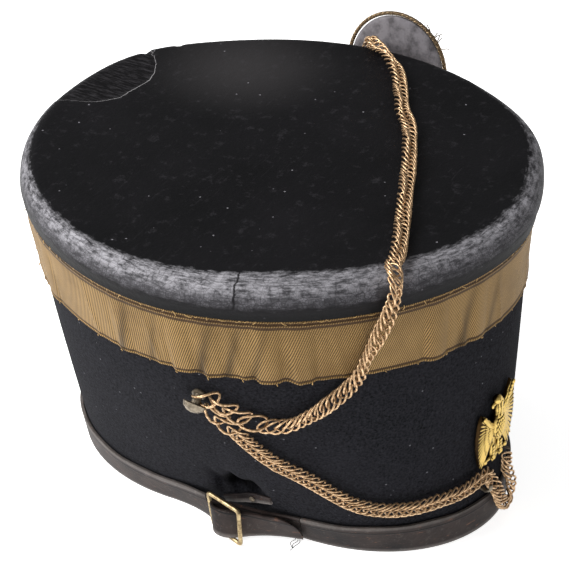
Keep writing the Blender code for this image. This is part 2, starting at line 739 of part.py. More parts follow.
def make_eagle_badge():
    """A cast eagle with raised wings: plates and rounded masses fused into one."""
    badge = wing_plate(1, 1.0)
    pieces = [wing_plate(-1, LOW_WING)] + [rounded_mass(*row[1:]) for row in BADGE_MASSES]
    for piece in pieces:
        fuse = badge.modifiers.new("fuse", "BOOLEAN")
        fuse.operation = "UNION"
        fuse.solver = "EXACT"
        fuse.object = piece
    bpy.context.view_layer.update()
    view = bpy.context.evaluated_depsgraph_get()
    whole = bpy.data.meshes.new_from_object(badge.evaluated_get(view))
    for piece in pieces + [badge]:
        bpy.data.objects.remove(piece, do_unlink=True)
    mesh_data = bmesh.new()
    mesh_data.from_mesh(whole)
    cut = bmesh.ops.bisect_plane(mesh_data, geom=mesh_data.verts[:] + mesh_data.edges[:]
                                 + mesh_data.faces[:], plane_co=(0.0, 0.0, 0.0),
                                 plane_no=(0.0, 1.0, 0.0), clear_outer=True)
    edges = [item for item in cut["geom_cut"] if isinstance(item, bmesh.types.BMEdge)]
    bmesh.ops.holes_fill(mesh_data, edges=edges)
    bmesh.ops.remove_doubles(mesh_data, verts=mesh_data.verts, dist=GAP / 15)
    badge = add_object("eagle_badge", mesh_data, GILT, 40)
    badge.data.transform(Matrix.Rotation(math.radians(BADGE_TILT), 4, "Y"))
    place_on_wall(badge, BADGE_TURN, BADGE_FOOT, 1.5 * GAP)
    return badge


def cockade_plane():
    """How far to the left the back of the cockade's edge stands."""
    rim = rim_point(90.0, 0.0, 0.0)
    return rim.x + COCKADE_CLEARANCE


def oval_ring(half_width, half_height, x, count):
    """Points of an upright oval that faces left."""
    return [Vector((x, COCKADE_CENTRE_Y + half_width * math.cos(2 * math.pi * step / count),
                    COCKADE_CENTRE_Z + half_height * math.sin(2 * math.pi * step / count)))
            for step in range(count)]


def make_cockade():
    """An upright oval of leather, slightly domed on both faces."""
    half_width = COCKADE_WIDTH / 2 - 2 * COCKADE_ROPE - GAP
    half_height = COCKADE_HEIGHT / 2 - 2 * COCKADE_ROPE - GAP
    back = cockade_plane()
    rows = [(0.45, -0.55), (0.85, -0.20), (1.0, 0.15), (1.0, 0.85), (0.85, 1.35), (0.45, 1.9)]
    rings = [oval_ring(half_width * share, half_height * share, back + COCKADE_EDGE * depth, 32)
             for share, depth in rows]
    mesh_data = bmesh.new()
    stack = join_rows(mesh_data, rings)
    centre = Vector((back, COCKADE_CENTRE_Y, COCKADE_CENTRE_Z))
    close_with_pole(mesh_data, stack[0], centre - Vector((COCKADE_EDGE * 0.7, 0.0, 0.0)))
    close_with_pole(mesh_data, stack[-1], centre + Vector((COCKADE_EDGE * 2.1, 0.0, 0.0)))
    return add_object("cockade", mesh_data, BLACK_LEATHER, 50)


def make_cockade_rope():
    """A twisted bullion cord round the cockade's edge."""
    middle = cockade_plane() + COCKADE_EDGE / 2
    points = oval_ring(COCKADE_WIDTH / 2 - COCKADE_ROPE, COCKADE_HEIGHT / 2 - COCKADE_ROPE,
                       middle, 32)
    return tube("cockade_rope", points, COCKADE_ROPE, BULLION, cyclic=True)


def make_cockade_pin():
    """A plain pin that carries the cockade off the lace."""
    y = COCKADE_CENTRE_Y - COCKADE_PIN_DROP
    z = COCKADE_CENTRE_Z - COCKADE_PIN_DROP
    seat = wall_point(90.0, z, GAP + LACE_THICKNESS + GAP)
    start = Vector((seat.x + 0.7 * GAP, y, z))
    end = Vector((cockade_plane() - COCKADE_EDGE * 0.55 - GAP, y, z))
    return tube("cockade_pin", [start, (start + end) / 2, end], COCKADE_PIN_RADIUS, GREY_METAL)


def centre_on_origin():
    """Hang every piece from one empty that brings the middle of the outline to the origin."""
    bpy.context.view_layer.update()
    parts = list(bpy.data.objects)
    view = bpy.context.evaluated_depsgraph_get()
    points = [part.matrix_world @ corner.co for part in parts
              for corner in part.evaluated_get(view).to_mesh().vertices]
    centre = bpy.data.objects.new("hat_centre", None)
    bpy.context.collection.objects.link(centre)
    for axis in (0, 1):
        places = [point[axis] for point in points]
        centre.location[axis] = -(min(places) + max(places)) / 2
    for part in parts:
        part.parent = centre


make_cloth_body()
make_crown_top()
make_lace_band()
make_base_band()
make_cinch_strap()
make_strap_tab()
make_tab_rivet()
make_buckle_frame()
for stud_row in STUDS:
    make_stud(*stud_row)
make_eagle_badge()
make_chain_hook()
make_end_pin()
make_cockade()
make_cockade_rope()
make_cockade_pin()
make_chain("chain_over", CHAIN_OVER_ROUTE)
make_chain("chain_front", CHAIN_FRONT_ROUTE)
centre_on_origin()
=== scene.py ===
import math
import random

import bpy
import numpy as np
from mathutils import Matrix, Vector


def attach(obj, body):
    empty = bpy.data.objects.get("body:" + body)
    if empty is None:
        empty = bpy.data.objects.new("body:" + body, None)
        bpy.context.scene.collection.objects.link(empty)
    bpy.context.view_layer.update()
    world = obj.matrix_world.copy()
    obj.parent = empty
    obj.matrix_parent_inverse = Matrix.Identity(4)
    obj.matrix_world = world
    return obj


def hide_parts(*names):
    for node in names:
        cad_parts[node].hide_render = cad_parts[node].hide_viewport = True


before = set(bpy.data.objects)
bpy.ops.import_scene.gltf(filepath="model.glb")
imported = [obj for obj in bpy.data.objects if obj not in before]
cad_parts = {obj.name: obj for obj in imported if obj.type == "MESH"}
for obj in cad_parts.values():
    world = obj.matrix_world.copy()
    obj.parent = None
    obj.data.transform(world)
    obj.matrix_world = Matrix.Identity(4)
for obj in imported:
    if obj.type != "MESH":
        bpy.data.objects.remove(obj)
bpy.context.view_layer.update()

# The room: a pale floor and soft light from the left and from above, as on a product table.
# The camera stands at the wearer's front right and looks down at the hat at about 34 degrees.
# Lengths are in metres and turns in degrees, from the wearer's front towards the left.


def colour(hex_code):
    """An sRGB hex colour as linear RGBA."""
    parts = [int(hex_code[place:place + 2], 16) / 255 for place in (1, 3, 5)]
    return tuple([part / 12.92 if part <= 0.04045 else ((part + 0.055) / 1.055) ** 2.4
                  for part in parts] + [1.0])


def feed(target, inputs):
    """Link or set a node's inputs: a node stands for its first live output, "#" for a colour."""
    for name, value in inputs.items():
        if isinstance(value, bpy.types.Node):
            value = next(output for output in value.outputs if output.enabled)
        if isinstance(value, bpy.types.NodeSocket):
            target.id_data.links.new(value, target.inputs[name])
        elif isinstance(value, str) and value.startswith("#"):
            target.inputs[name].default_value = colour(value)
        else:
            target.inputs[name].default_value = value


def node(tree, kind, inputs=None, ramp=(), **settings):
    """Add a node (a shader node by its short kind) with settings, ramp stops and inputs."""
    new = tree.nodes.new(kind if "Node" in kind else "ShaderNode" + kind)
    for name, value in settings.items():
        setattr(new, name, value)
    for number, (position, hex_code) in enumerate(ramp):
        new.color_ramp.elements[number].position = position
        new.color_ramp.elements[number].color = colour(hex_code)
    feed(new, inputs or {})
    return new


def spaced(millimetres):
    """The scale of a pattern whose grains lie this far apart."""
    return 1000.0 / millimetres


VIEW_POINT = (-0.6368, -0.3223, 0.5624)
VIEW_WAY = (0.7411, 0.3776, -0.5551)
LENS = 121.88
camera_data = bpy.data.cameras.new("camera")
camera_data.lens = LENS
camera_data.sensor_width = 36.0
camera_data.clip_start = 0.01
camera = bpy.data.objects.new("camera", camera_data)
camera.location = VIEW_POINT
camera.rotation_euler = Vector(VIEW_WAY).to_track_quat("-Z", "Y").to_euler()
bpy.context.collection.objects.link(camera)
bpy.context.scene.camera = camera
bpy.context.scene.view_settings.view_transform = "Standard"

world = bpy.data.worlds.new("room")
bpy.context.scene.world = world
world.use_nodes = True
world.node_tree.nodes["Background"].inputs["Color"].default_value = (1.0, 1.0, 1.0, 1.0)
world.node_tree.nodes["Background"].inputs["Strength"].default_value = 0.30

# Each light: its place, its width in metres and its power in watts.
LIT_POINT = (0.0, 0.0, 0.08)
LIGHTS = [
    ("window", (-1.0, 1.15, 1.35), 1.3, 42.0),
    ("top_softbox", (-0.1, 1.0, 1.5), 1.2, 12.0),
    ("fill", (-1.3, -0.7, 0.7), 0.9, 1.0),
]
for name, place, size, power in LIGHTS:
    light_data = bpy.data.lights.new(name, "AREA")
    light_data.shape = "DISK"
    light_data.size = size
    light_data.energy = power
    light = bpy.data.objects.new(name, light_data)
    light.location = place
    aim = Vector(LIT_POINT) - Vector(place)
    light.rotation_euler = aim.to_track_quat("-Z", "Y").to_euler()
    bpy.context.collection.objects.link(light)


def new_finish(name):
    """A material with its node tree and its shader."""
    material = bpy.data.materials.new(name)
    material.use_nodes = True
    tree = material.node_tree
    return material, tree, tree.nodes["Principled BSDF"]


# White background paper, matt, lit so evenly that it reads as pure white behind the hat.
paper, tree, shader = new_finish("white_paper")
feed(shader, {"Base Color": "#f6f6f6", "Roughness": 0.9, "Specular IOR Level": 0.1,
              "Emission Color": (1.0, 1.0, 1.0, 1.0), "Emission Strength": 0.78})
floor_mesh = bpy.data.meshes.new("floor")
FLOOR_REACH = 8.0
floor_mesh.from_pydata([(x * FLOOR_REACH, y * FLOOR_REACH, 0.0)
                        for x, y in ((-1, -1), (1, -1), (1, 1), (-1, 1))], [], [(0, 1, 2, 3)])
floor_mesh.materials.append(paper)
floor = bpy.data.objects.new("floor", floor_mesh)
bpy.context.collection.objects.link(floor)

# Wall: stiffened felt covered in blue-black wool cloth, a soft oval that widens upwards.
# Its right side is pulled in at the foot by the strap, and pinched just above it.
BASE_LENGTH = 0.2038
BASE_WIDTH = 0.1598
TOP_LENGTH = 0.2192
TOP_WIDTH = 0.2172
SHOULDER_HEIGHT = 0.155
BACKWARD_LEAN = 0.005
SIDE_BELLY = 0.0044
OVAL_POWER = 1.9
HAT_SHIFT = (-0.0059081, -0.0038502)
CLOTH_WALL = 0.0028
GAP = 0.0003
BODY_HEAD = 0.151
# Each dent: the turn it faces, its depth as a share of the foot's width, its spread in degrees,
# and its level and reach up the wall as shares of the wall's height.
DENTS = [(-87.0, 0.175, 45.6, 0.0, 0.907), (-82.0, 0.044, 8.0, 0.181, 0.080),
         (27.0, 0.011, 24.0, 0.80, 0.75), (92.0, 0.012, 30.0, 1.0, 0.60),
         (152.0, -0.026, 17.0, 1.0, 0.55), (-152.0, -0.011, 20.0, 0.86, 0.20)]
# Each pinched fold: its turn, depth, half width in degrees, height and reach up the wall.
FOLDS = [(-84.2, 0.0042, 2.3, 0.0325, 0.0085), (-77.5, 0.0030, 1.8, 0.0290, 0.0080),
         (-90.5, 0.0026, 2.0, 0.0300, 0.0100), (-71.0, -0.0012, 2.2, 0.0300, 0.0120)]


def swing(turn, middle):
    """Degrees from one turn to another, from -180 to 180."""
    return (turn - middle + 180.0) % 360.0 - 180.0


def outline(turn, height):
    """Points of the cloth's outer face for arrays of turns (degrees) and heights (metres)."""
    turn, height = np.broadcast_arrays(np.asarray(turn, float), np.asarray(height, float))
    share = height / SHOULDER_HEIGHT
    half_length = (BASE_LENGTH + (TOP_LENGTH - BASE_LENGTH) * share) / 2
    half_width = ((BASE_WIDTH + (TOP_WIDTH - BASE_WIDTH) * share) / 2
                  + SIDE_BELLY * 4 * share * (1 - share))
    front, left = np.cos(np.radians(turn)), np.sin(np.radians(turn))
    along = half_length * np.sign(front) * np.abs(front) ** (2 / OVAL_POWER)
    across = half_width * np.sign(left) * np.abs(left) ** (2 / OVAL_POWER)
    dent = np.zeros_like(along)
    for middle, depth, spread, level, reach in DENTS:
        fade = np.clip(1 - np.abs(share - level) / reach, 0.0, None) ** 1.5
        dent = dent + BASE_WIDTH * depth * np.exp(-(swing(turn, middle) / spread) ** 2) * fade
    kept = 1 - dent / np.hypot(along, across)
    return np.stack([across * kept + HAT_SHIFT[0],
                     -along * kept + BACKWARD_LEAN * share + HAT_SHIFT[1], height], axis=-1)


def outward(turn, height):
    """Level directions square to the wall."""
    along = outline(np.asarray(turn) + 0.5, height) - outline(np.asarray(turn) - 0.5, height)
    way = np.stack([along[..., 1], -along[..., 0], np.zeros(along.shape[:-1])], axis=-1)
    return way / np.linalg.norm(way, axis=-1, keepdims=True)


def wall_point(turn, height, outset):
    """Points on or off the wall's outer face."""
    return outline(turn, height) + outward(turn, height) * np.asarray(outset)[..., None]


def add_piece(name, points, faces, material, uvs=None, slot=None, instead=(), marks=None):
    """A mesh piece that rides on the hat, from points, faces and what they carry."""
    mesh = bpy.data.meshes.new(name)
    mesh.from_pydata([tuple(point) for point in points], [], [tuple(face) for face in faces])
    if uvs is not None:
        layer = mesh.uv_layers.new(name="UVMap")
        corners = np.empty(len(mesh.loops), int)
        mesh.loops.foreach_get("vertex_index", corners)
        layer.data.foreach_set("uv", np.asarray(uvs, float)[corners].ravel())
    for mark, values in (marks or {}).items():
        attribute = mesh.attributes.new(mark, "FLOAT", "POINT")
        attribute.data.foreach_set("value", np.asarray(values, float))
    mesh.materials.append(material)
    mesh.validate()
    piece = bpy.data.objects.new(name, mesh)
    bpy.context.collection.objects.link(piece)
    mesh.shade_smooth()
    mesh.set_sharp_from_angle(angle=math.radians(50))
    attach(piece, "root")
    if instead:
        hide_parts(*instead)
    return piece


def ring_faces(rows, count, closed_stack=False):
    """Quads between neighbouring rings of points, each ring closed."""
    faces = []
    pairs = [(row, row + 1) for row in range(rows - 1)]
    if closed_stack:
        pairs.append((rows - 1, 0))
    for low, high in pairs:
        for step in range(count):
            after = (step + 1) % count
            faces.append((low * count + step, low * count + after, high * count + after,
                          high * count + step))
    return faces


def closed_turns(count):
    """Even turns once round the hat, in degrees."""
    return np.linspace(-180.0, 180.0, count, endpoint=False)


# Wool cloth, dyed blue-black and milled so hard that no weave shows. It looks matt, with pale
# dust in broad clouds and a few specks of lint. The real nap is about 0.1 mm, and is drawn at
# 1 mm so that it shows. The pinched folds above the strap are painted near black as shade, since
# almost no light comes back from them.
cloth, tree, shader = new_finish("milled_wool_cloth")
place = node(tree, "TexCoord").outputs["Object"]
nap = node(tree, "TexNoise", {"Vector": place, "Scale": spaced(1.111), "Detail": 4.0,
                              "Roughness": 0.7})
clouds = node(tree, "TexNoise", {"Vector": place, "Scale": spaced(35.71), "Detail": 4.0,
                                 "Roughness": 0.6})
dyed = node(tree, "ValToRGB", {"Fac": nap}, ramp=[(0.30, "#040405"), (0.74, "#2d2d32")])
dust = node(tree, "MapRange", {"Value": clouds, "From Min": 0.45, "From Max": 0.8, "To Min": 0.0,
                               "To Max": 0.30})
# Lint: a small pale speck in one cell of fourteen.
lint = node(tree, "TexVoronoi", {"Vector": place, "Scale": spaced(3.03), "Randomness": 1.0})
specks = node(tree, "MapRange", {"Value": lint, "From Min": 0.10, "From Max": 0.16, "To Min": 1.0,
                                 "To Max": 0.0})
sparse = node(tree, "SeparateColor", {"Color": lint.outputs["Color"]})
chosen = node(tree, "Math", {0: sparse.outputs["Red"], 1: 0.93}, operation="GREATER_THAN")
shown = node(tree, "Math", {0: specks, 1: chosen}, operation="MULTIPLY")
# Painted shade: the pinch's mouth and the slit beside it are mixed to near black.
pinch_shade = node(tree, "Attribute", attribute_name="pinch_shade").outputs["Fac"]
tone = dyed
for mask, hex_code in ((dust, "#2c2c31"), (shown, "#66656a"), (pinch_shade, "#020202")):
    tone = node(tree, "Mix", {"Factor": mask, "A": tone, "B": hex_code}, data_type="RGBA")
feed(shader, {"Base Color": tone})
lift = node(tree, "Bump", {"Height": nap, "Strength": 0.8, "Distance": 0.0006})
feed(shader, {"Normal": lift, "Roughness": 0.95, "Specular IOR Level": 0.02, "Sheen Weight": 0.015,
              "Sheen Roughness": 0.6})

# Rings of points up the outer face and down the inner one, closer together where it is pinched.
turns = np.sort(np.concatenate([closed_turns(300), np.linspace(-100.3, -60.7, 90)]))
outer_levels = np.concatenate([np.linspace(0.0, 0.05, 41), np.linspace(0.054, BODY_HEAD, 26)])
body_rows = [(height, 0.0) for height in outer_levels]
body_rows += [(height, -CLOTH_WALL) for height in np.linspace(BODY_HEAD, 0.0, 24)]
# A mark for the mouth of the pinch and the slit beside it, painted near black as shade where no
# light comes back.
rows, pinch_shade = [], []
for height, outset in body_rows:
    sink = np.zeros(len(turns))
    for middle, depth, spread, level, reach in FOLDS:
        sink += depth * np.exp(-(swing(turns, middle) / spread) ** 2
                               - ((height - level) / reach) ** 2)
    rows.append(wall_point(turns, height, outset - sink))
    mouth = np.exp(-(swing(turns, -84.0) / 5.5) ** 4 - ((height - 0.0285) / 0.0042) ** 4)
    slit = np.exp(-(swing(turns, -78.0) / 1.6) ** 2 - ((height - 0.0330) / 0.0050) ** 2)
    pinch_shade.append(np.clip(mouth + 0.8 * slit, 0, 1))
faces = ring_faces(len(body_rows), len(turns), closed_stack=True)
add_piece("wool_wall", np.concatenate(rows), faces, cloth, slot="cloth", instead=["cloth_body"],
          marks={"pinch_shade": np.concatenate(pinch_shade)})

# Crown: lacquered leather stretched over the top, rolled over the rim and turned down the wall.
# The lacquer has crazed and worn to grey on the roll, and one crack runs across it.
LEATHER = 0.0018
CROWN_TOP = 0.158
RIM_ROUND = 0.007
FLANGE_FOOT = 0.145
CROWN_SINK = 0.0016
# The dish: shares of the way out from the middle, and how deep it is there.
CROWN_DISH = [(0.0, 1.0), (0.50, 1.0), (0.82, 0.75), (0.93, 0.30), (1.0, 0.0)]
RIM_OVERHANG = 0.0010
# Each wave of the rim: its turn, its share of the overhang and its spread in degrees.
RIM_WAVES = [(-152, -1.0, 22.0), (38, 2.6, 15.0), (92, -1.0, 30.0), (152, 1.5, 17.0)]


def rim_point(turn, slope, lift):
    """Points on or off the rolled rim: slope 0 faces out, 90 faces up."""
    reach = RIM_ROUND + lift
    height = CROWN_TOP - RIM_ROUND
    over = 1.0 + sum(share * np.exp(-(swing(turn, middle) / half) ** 2)
                     for middle, share, half in RIM_WAVES)
    centre = GAP + LEATHER + RIM_OVERHANG * over - RIM_ROUND
    point = wall_point(turn, height, centre + reach * np.cos(np.radians(slope)))
    point[..., 2] = height + reach * np.sin(np.radians(slope))
    return point


crown_middle = np.array([HAT_SHIFT[0], HAT_SHIFT[1] + BACKWARD_LEAN * CROWN_TOP / SHOULDER_HEIGHT,
                         CROWN_TOP])


def crown_drop(share):
    """How deep the dish is at a share of the way out."""
    return CROWN_SINK * np.interp(share, *zip(*CROWN_DISH))


# How far in from the roll the lacquer is worn to grey, in mm at each turn.
WORN_TO = [(-180, -5), (-170, -5), (-150, -4), (-130, -2), (-110, 1), (-85, 6), (-63, 10),
           (-40, 7), (-15, 3), (10, 0), (30, -2), (50, -3), (80, -6), (180, -6)]
# How far out, as a share of the crown, the torn patch begins at each turn.
TORN_FROM = [(148.5, 1.10), (149.5, 0.982), (151.1, 0.912), (154.4, 0.847), (158.1, 0.81),
             (162.2, 0.803), (166.7, 0.808), (171.6, 0.812), (175.0, 0.839), (178.4, 0.877),
             (180.7, 0.926), (183.0, 1.02), (184.0, 1.10)]
TORN_DEPTH = 0.0004
# Two notches in the rim beside the torn patch: turn, half width in degrees and depth.
NOTCHES = [(150.0, 0.9, 0.00108), (142.0, 0.8, 0.00072)]
ROUND_LENGTH = 0.68
CRACK_TURN = -71.6
HIGHLIGHT_MIDDLE = (0.056, 0.052, 0.156)
turns = closed_turns(480)
count = len(turns)
# The outer face in rings: the flange, the roll, then the dished top in to its middle.
rows = [wall_point(turns, height, GAP + LEATHER + over) for height, over in
        ((FLANGE_FOOT, 0.0), (FLANGE_FOOT + 0.0015, 0.0001), (FLANGE_FOOT + 0.0035, 0.0004))]
rows += [rim_point(turns, slope, 0.0) for slope in np.linspace(0, 90, 16)]
edge = rows[-1]
shares = np.concatenate([np.linspace(0.988, 0.74, 24), np.linspace(0.70, 0.02, 20)])
for share in shares:
    row = crown_middle + (edge - crown_middle) * share
    row[:, 2] -= crown_drop(share)
    rows.append(row)
outer = np.array(rows)
# How far each ring lies from the flange's foot tells where the leather is worn, torn or in shade.
travel = np.concatenate([[0.0], np.cumsum(np.linalg.norm(np.diff(outer[:, 0], axis=0), axis=1))])
top_row = len(rows) - len(shares) - 1
worn_to = np.interp(turns, *zip(*WORN_TO)) / 1000
past = travel[:, None] - travel[top_row] - worn_to[None, :]
foot_clear = np.clip((travel[:, None] - 0.0052) / 0.0030, 0, 1)
wear = np.clip(0.42 - past / 0.008, 0, 1) * foot_clear
out_share = np.concatenate([np.full(top_row + 1, 1.02), shares])
torn_from = np.interp(np.where(turns < 0, turns + 360, turns), *zip(*TORN_FROM), left=9, right=9)
torn = np.clip(0.5 + (out_share[:, None] - torn_from[None, :]) / 0.05, 0, 1)
torn[:3] = 0.0
chance = np.random.RandomState(5)
ragged = np.convolve(chance.uniform(-1, 1, count), np.ones(3) / 3, "same")
outer[:, :, 2] -= TORN_DEPTH * np.clip(torn * 2 - 0.8, 0, 1)
for middle, half, depth in NOTCHES:
    notch = depth * np.exp(-(swing(turns, middle) / half) ** 2)
    outer[top_row - 9:top_row + 3, :, 2] -= notch[None, :]
crease_lines = 0.00035 * ragged[None, :] * np.exp(-((past + 0.002) / 0.003) ** 2)
outer[top_row - 6:, :, 2] += crease_lines[top_row - 6:]
# The inner face, one leather's thickness below.
inner_rows = [wall_point(turns, FLANGE_FOOT, GAP)]
inner_rows += [rim_point(turns, slope, -LEATHER) for slope in (0, 30, 60, 90)]
for share in (0.93, 0.82, 0.5, 0.02):
    row = crown_middle + (edge - crown_middle) * share
    row[:, 2] -= crown_drop(share) + LEATHER
    inner_rows.append(row)
inner = np.array(inner_rows)
stack = np.concatenate([outer[::-1], inner])
points = stack.reshape(-1, 3)
faces = ring_faces(len(stack), count)
faces.append(tuple(range(count))[::-1])
faces.append(tuple(range((len(stack) - 1) * count, len(stack) * count)))
blank = np.zeros(len(inner) * count)
wear = np.concatenate([wear[::-1].reshape(-1), blank])
torn = np.concatenate([torn[::-1].reshape(-1), blank])
under_roll = np.clip(1 - travel / 0.0062, 0, 1)
under_roll = np.concatenate([np.repeat(under_roll[::-1], count), blank])
around = ROUND_LENGTH * (turns + 180.0) / 360.0
uv = np.stack([np.tile(around, len(stack)),
               np.repeat(np.concatenate([travel[::-1], np.zeros(len(inner))]), count)], axis=1)

# Leather with many coats of black lacquer, brushed on. It is near black with a low gloss, pale
# scratches along the brush marks and a bloom of mould. On the roll the lacquer has worn down to
# grey, crazed in cells of about 1 mm. Its finest crazing is about 0.3 mm, drawn coarser to show.
lacquer, tree, shader = new_finish("lacquered_leather")
place = node(tree, "TexCoord").outputs["Object"]
# Where it is worn: the 'wear' mark broken up by patches and by streaks along the rim.
broad = node(tree, "TexNoise", {"Vector": place, "Scale": spaced(55.56), "Detail": 5.0,
                                "Roughness": 0.6})
fine = node(tree, "TexNoise", {"Vector": place, "Scale": spaced(2.381), "Detail": 4.0,
                               "Roughness": 0.7})
worn = node(tree, "Attribute", attribute_name="wear").outputs["Fac"]
uv_place = node(tree, "UVMap", uv_map="UVMap").outputs["UV"]
along_rim = node(tree, "Mapping", {"Vector": uv_place, "Scale": (spaced(6.25), spaced(1.429), 1.0)})
streaks = node(tree, "TexNoise", {"Vector": along_rim, "Scale": 1.0, "Detail": 6.0,
                                  "Roughness": 0.7})
patchy = node(tree, "TexNoise", {"Vector": place, "Scale": spaced(5.263), "Detail": 8.0,
                                 "Roughness": 0.75})
both = node(tree, "Math", {0: patchy, 1: streaks}, operation="ADD")
edge_noise = node(tree, "Math", {0: worn, 1: 1.35, 2: both}, operation="MULTIPLY_ADD")
worn_mask = node(tree, "MapRange", {"Value": edge_noise, "From Min": 1.30, "From Max": 2.0})
cells = node(tree, "TexVoronoi", {"Vector": place, "Scale": spaced(1.053)},
             feature="DISTANCE_TO_EDGE")
crazing = node(tree, "MapRange", {"Value": cells, "From Min": 0.0, "From Max": 0.14})
# The colours of kept and of worn lacquer, and a painted pale highlight towards the back left of the
# top, standing in for reflected light.
black = node(tree, "ValToRGB", {"Fac": broad}, ramp=[(0.35, "#050507"), (0.70, "#0f0e11")])
halved = node(tree, "Math", {0: both, 1: 0.88}, operation="MULTIPLY")
grey = node(tree, "ValToRGB", {"Fac": halved}, ramp=[(0.78, "#403f42"), (1.0, "#757378")])
crazed = node(tree, "Mix", {"Factor": crazing, "A": "#434245", "B": grey}, data_type="RGBA")
highlight_distance = node(tree, "VectorMath", {0: place, 1: HIGHLIGHT_MIDDLE}, operation="DISTANCE")
painted_top_highlight = node(tree, "MapRange", {"Value": highlight_distance, "From Min": 0.0, "From Max": 0.055,
                                    "To Min": 0.75, "To Max": 0.0}, interpolation_type="SMOOTHSTEP")
brushed_way = node(tree, "Mapping", {"Vector": place,
                                     "Scale": (spaced(16.67), spaced(1.111), spaced(16.67)),
                                     "Rotation": (0.0, 0.0, 0.35)})
brushed = node(tree, "TexNoise", {"Vector": brushed_way, "Scale": 1.0, "Detail": 6.0,
                                  "Roughness": 0.8})
fine_scratch = node(tree, "MapRange", {"Value": brushed, "From Min": 0.60, "From Max": 0.80,
                                       "To Min": 0.0, "To Max": 0.22})
mould = node(tree, "MapRange", {"Value": patchy, "From Min": 0.56, "From Max": 0.78, "To Min": 0.0,
                                "To Max": 0.55})
kept = black
for mask, hex_code in ((painted_top_highlight, "#343233"), (fine_scratch, "#57555a"), (mould, "#403e42")):
    kept = node(tree, "Mix", {"Factor": mask, "A": kept, "B": hex_code}, data_type="RGBA")
# Long cracks over the worn roll, and the one deep crack right across it.
long_cells = node(tree, "TexVoronoi", {"Vector": place, "Scale": spaced(3.03)},
                  feature="DISTANCE_TO_EDGE")
long_cracks = node(tree, "MapRange", {"Value": long_cells, "From Min": 0.0, "From Max": 0.05,
                                      "To Min": 0.45})
axes = node(tree, "SeparateXYZ", {"Vector": uv_place})
split_off = node(tree, "Math", {0: patchy, 1: 0.004, 2: axes.outputs["X"]},
                 operation="MULTIPLY_ADD")
split_far = node(tree, "Math", {0: split_off, 1: ROUND_LENGTH * (CRACK_TURN + 180) / 360 + 0.002},
                 operation="SUBTRACT")
split_abs = node(tree, "Math", {0: split_far}, operation="ABSOLUTE")
split = node(tree, "MapRange", {"Value": split_abs, "From Min": 0.0002, "From Max": 0.0006})
cracks = node(tree, "Math", {0: long_cracks, 1: split}, operation="MINIMUM")
# A painted highlight on the upper worn roll, strongest at the wearer's right.
highlight_side = node(tree, "MapRange", {"Value": axes.outputs["X"], "From Min": 0.257, "From Max": 0.175,
                                   "To Min": 0.40, "To Max": 0.85}, interpolation_type="SMOOTHSTEP")
highlight_rise = node(tree, "MapRange", {"Value": axes.outputs["Y"], "From Min": 0.0085,
                                   "From Max": 0.0150}, interpolation_type="SMOOTHSTEP")
highlight_noise = node(tree, "MapRange", {"Value": both, "From Min": 0.85, "From Max": 1.15})
highlight_part = node(tree, "Math", {0: highlight_side, 1: highlight_rise}, operation="MULTIPLY")
roll_highlight = node(tree, "Math", {0: highlight_part, 1: highlight_noise}, operation="MULTIPLY")
highlighted_roll = node(tree, "Mix", {"Factor": roll_highlight, "A": crazed, "B": "#b5b3b8"}, data_type="RGBA")
cracked = node(tree, "Mix", {"Factor": cracks, "A": "#19181a", "B": highlighted_roll},
               data_type="RGBA")
surface = node(tree, "Mix", {"Factor": worn_mask, "A": kept, "B": cracked}, data_type="RGBA")
# The torn patch: bare leather fibres inside a pale broken lip of lacquer.
torn_value = node(tree, "Attribute", attribute_name="torn").outputs["Fac"]
torn_rag = node(tree, "Math", {0: patchy, 1: 0.5, 2: torn_value}, operation="MULTIPLY_ADD")
torn_in = node(tree, "MapRange", {"Value": torn_rag, "From Min": 0.72, "From Max": 0.78})
scratch_way = node(tree, "Mapping", {"Vector": place,
                                     "Scale": (spaced(1.111), spaced(6.25), spaced(6.25)),
                                     "Rotation": (0.0, 0.0, 0.6)})
scratches = node(tree, "TexNoise", {"Vector": scratch_way, "Scale": 1.0, "Detail": 5.0,
                                    "Roughness": 0.7})
fibres = node(tree, "ValToRGB", {"Fac": scratches}, ramp=[(0.47, "#060507"), (0.80, "#403e41")])
torn_shown = node(tree, "Mix", {"Factor": torn_in, "A": surface, "B": fibres}, data_type="RGBA")
lip_far = node(tree, "Math", {0: torn_rag, 1: 0.72}, operation="SUBTRACT")
lip_abs = node(tree, "Math", {0: lip_far}, operation="ABSOLUTE")
lip = node(tree, "MapRange", {"Value": lip_abs, "From Min": 0.02, "From Max": 0.06, "To Min": 0.85,
                              "To Max": 0.0})
# Grit on the top, and the shade low on the roll and under it.
grit = node(tree, "TexVoronoi", {"Vector": place, "Scale": spaced(4.762)})
grit_dot = node(tree, "MapRange", {"Value": grit, "From Min": 0.06, "From Max": 0.11, "To Min": 1.0,
                                   "To Max": 0.0})
grit_pick = node(tree, "SeparateColor", {"Color": grit.outputs["Color"]})
grit_few = node(tree, "Math", {0: grit_pick.outputs["Green"], 1: 0.88}, operation="GREATER_THAN")
grit_shown = node(tree, "Math", {0: grit_dot, 1: grit_few}, operation="MULTIPLY")
low_roll = node(tree, "MapRange", {"Value": axes.outputs["Y"], "From Min": 0.0060,
                                   "From Max": 0.0115, "To Min": 0.60, "To Max": 0.0},
                interpolation_type="SMOOTHSTEP")
shadowed = node(tree, "Attribute", attribute_name="under_roll").outputs["Fac"]
tone = torn_shown
for mask, hex_code in ((lip, "#8f8d8e"), (grit_shown, "#77757a"), (low_roll, "#161517"),
                       (shadowed, "#08080a")):
    tone = node(tree, "Mix", {"Factor": mask, "A": tone, "B": hex_code}, data_type="RGBA")
feed(shader, {"Base Color": tone})
rough = node(tree, "MapRange", {"Value": worn_mask, "To Min": 0.58, "To Max": 0.55})
feed(shader, {"Roughness": rough})
height = node(tree, "Mix", {"Factor": worn_mask, "A": fine, "B": both}, data_type="FLOAT")
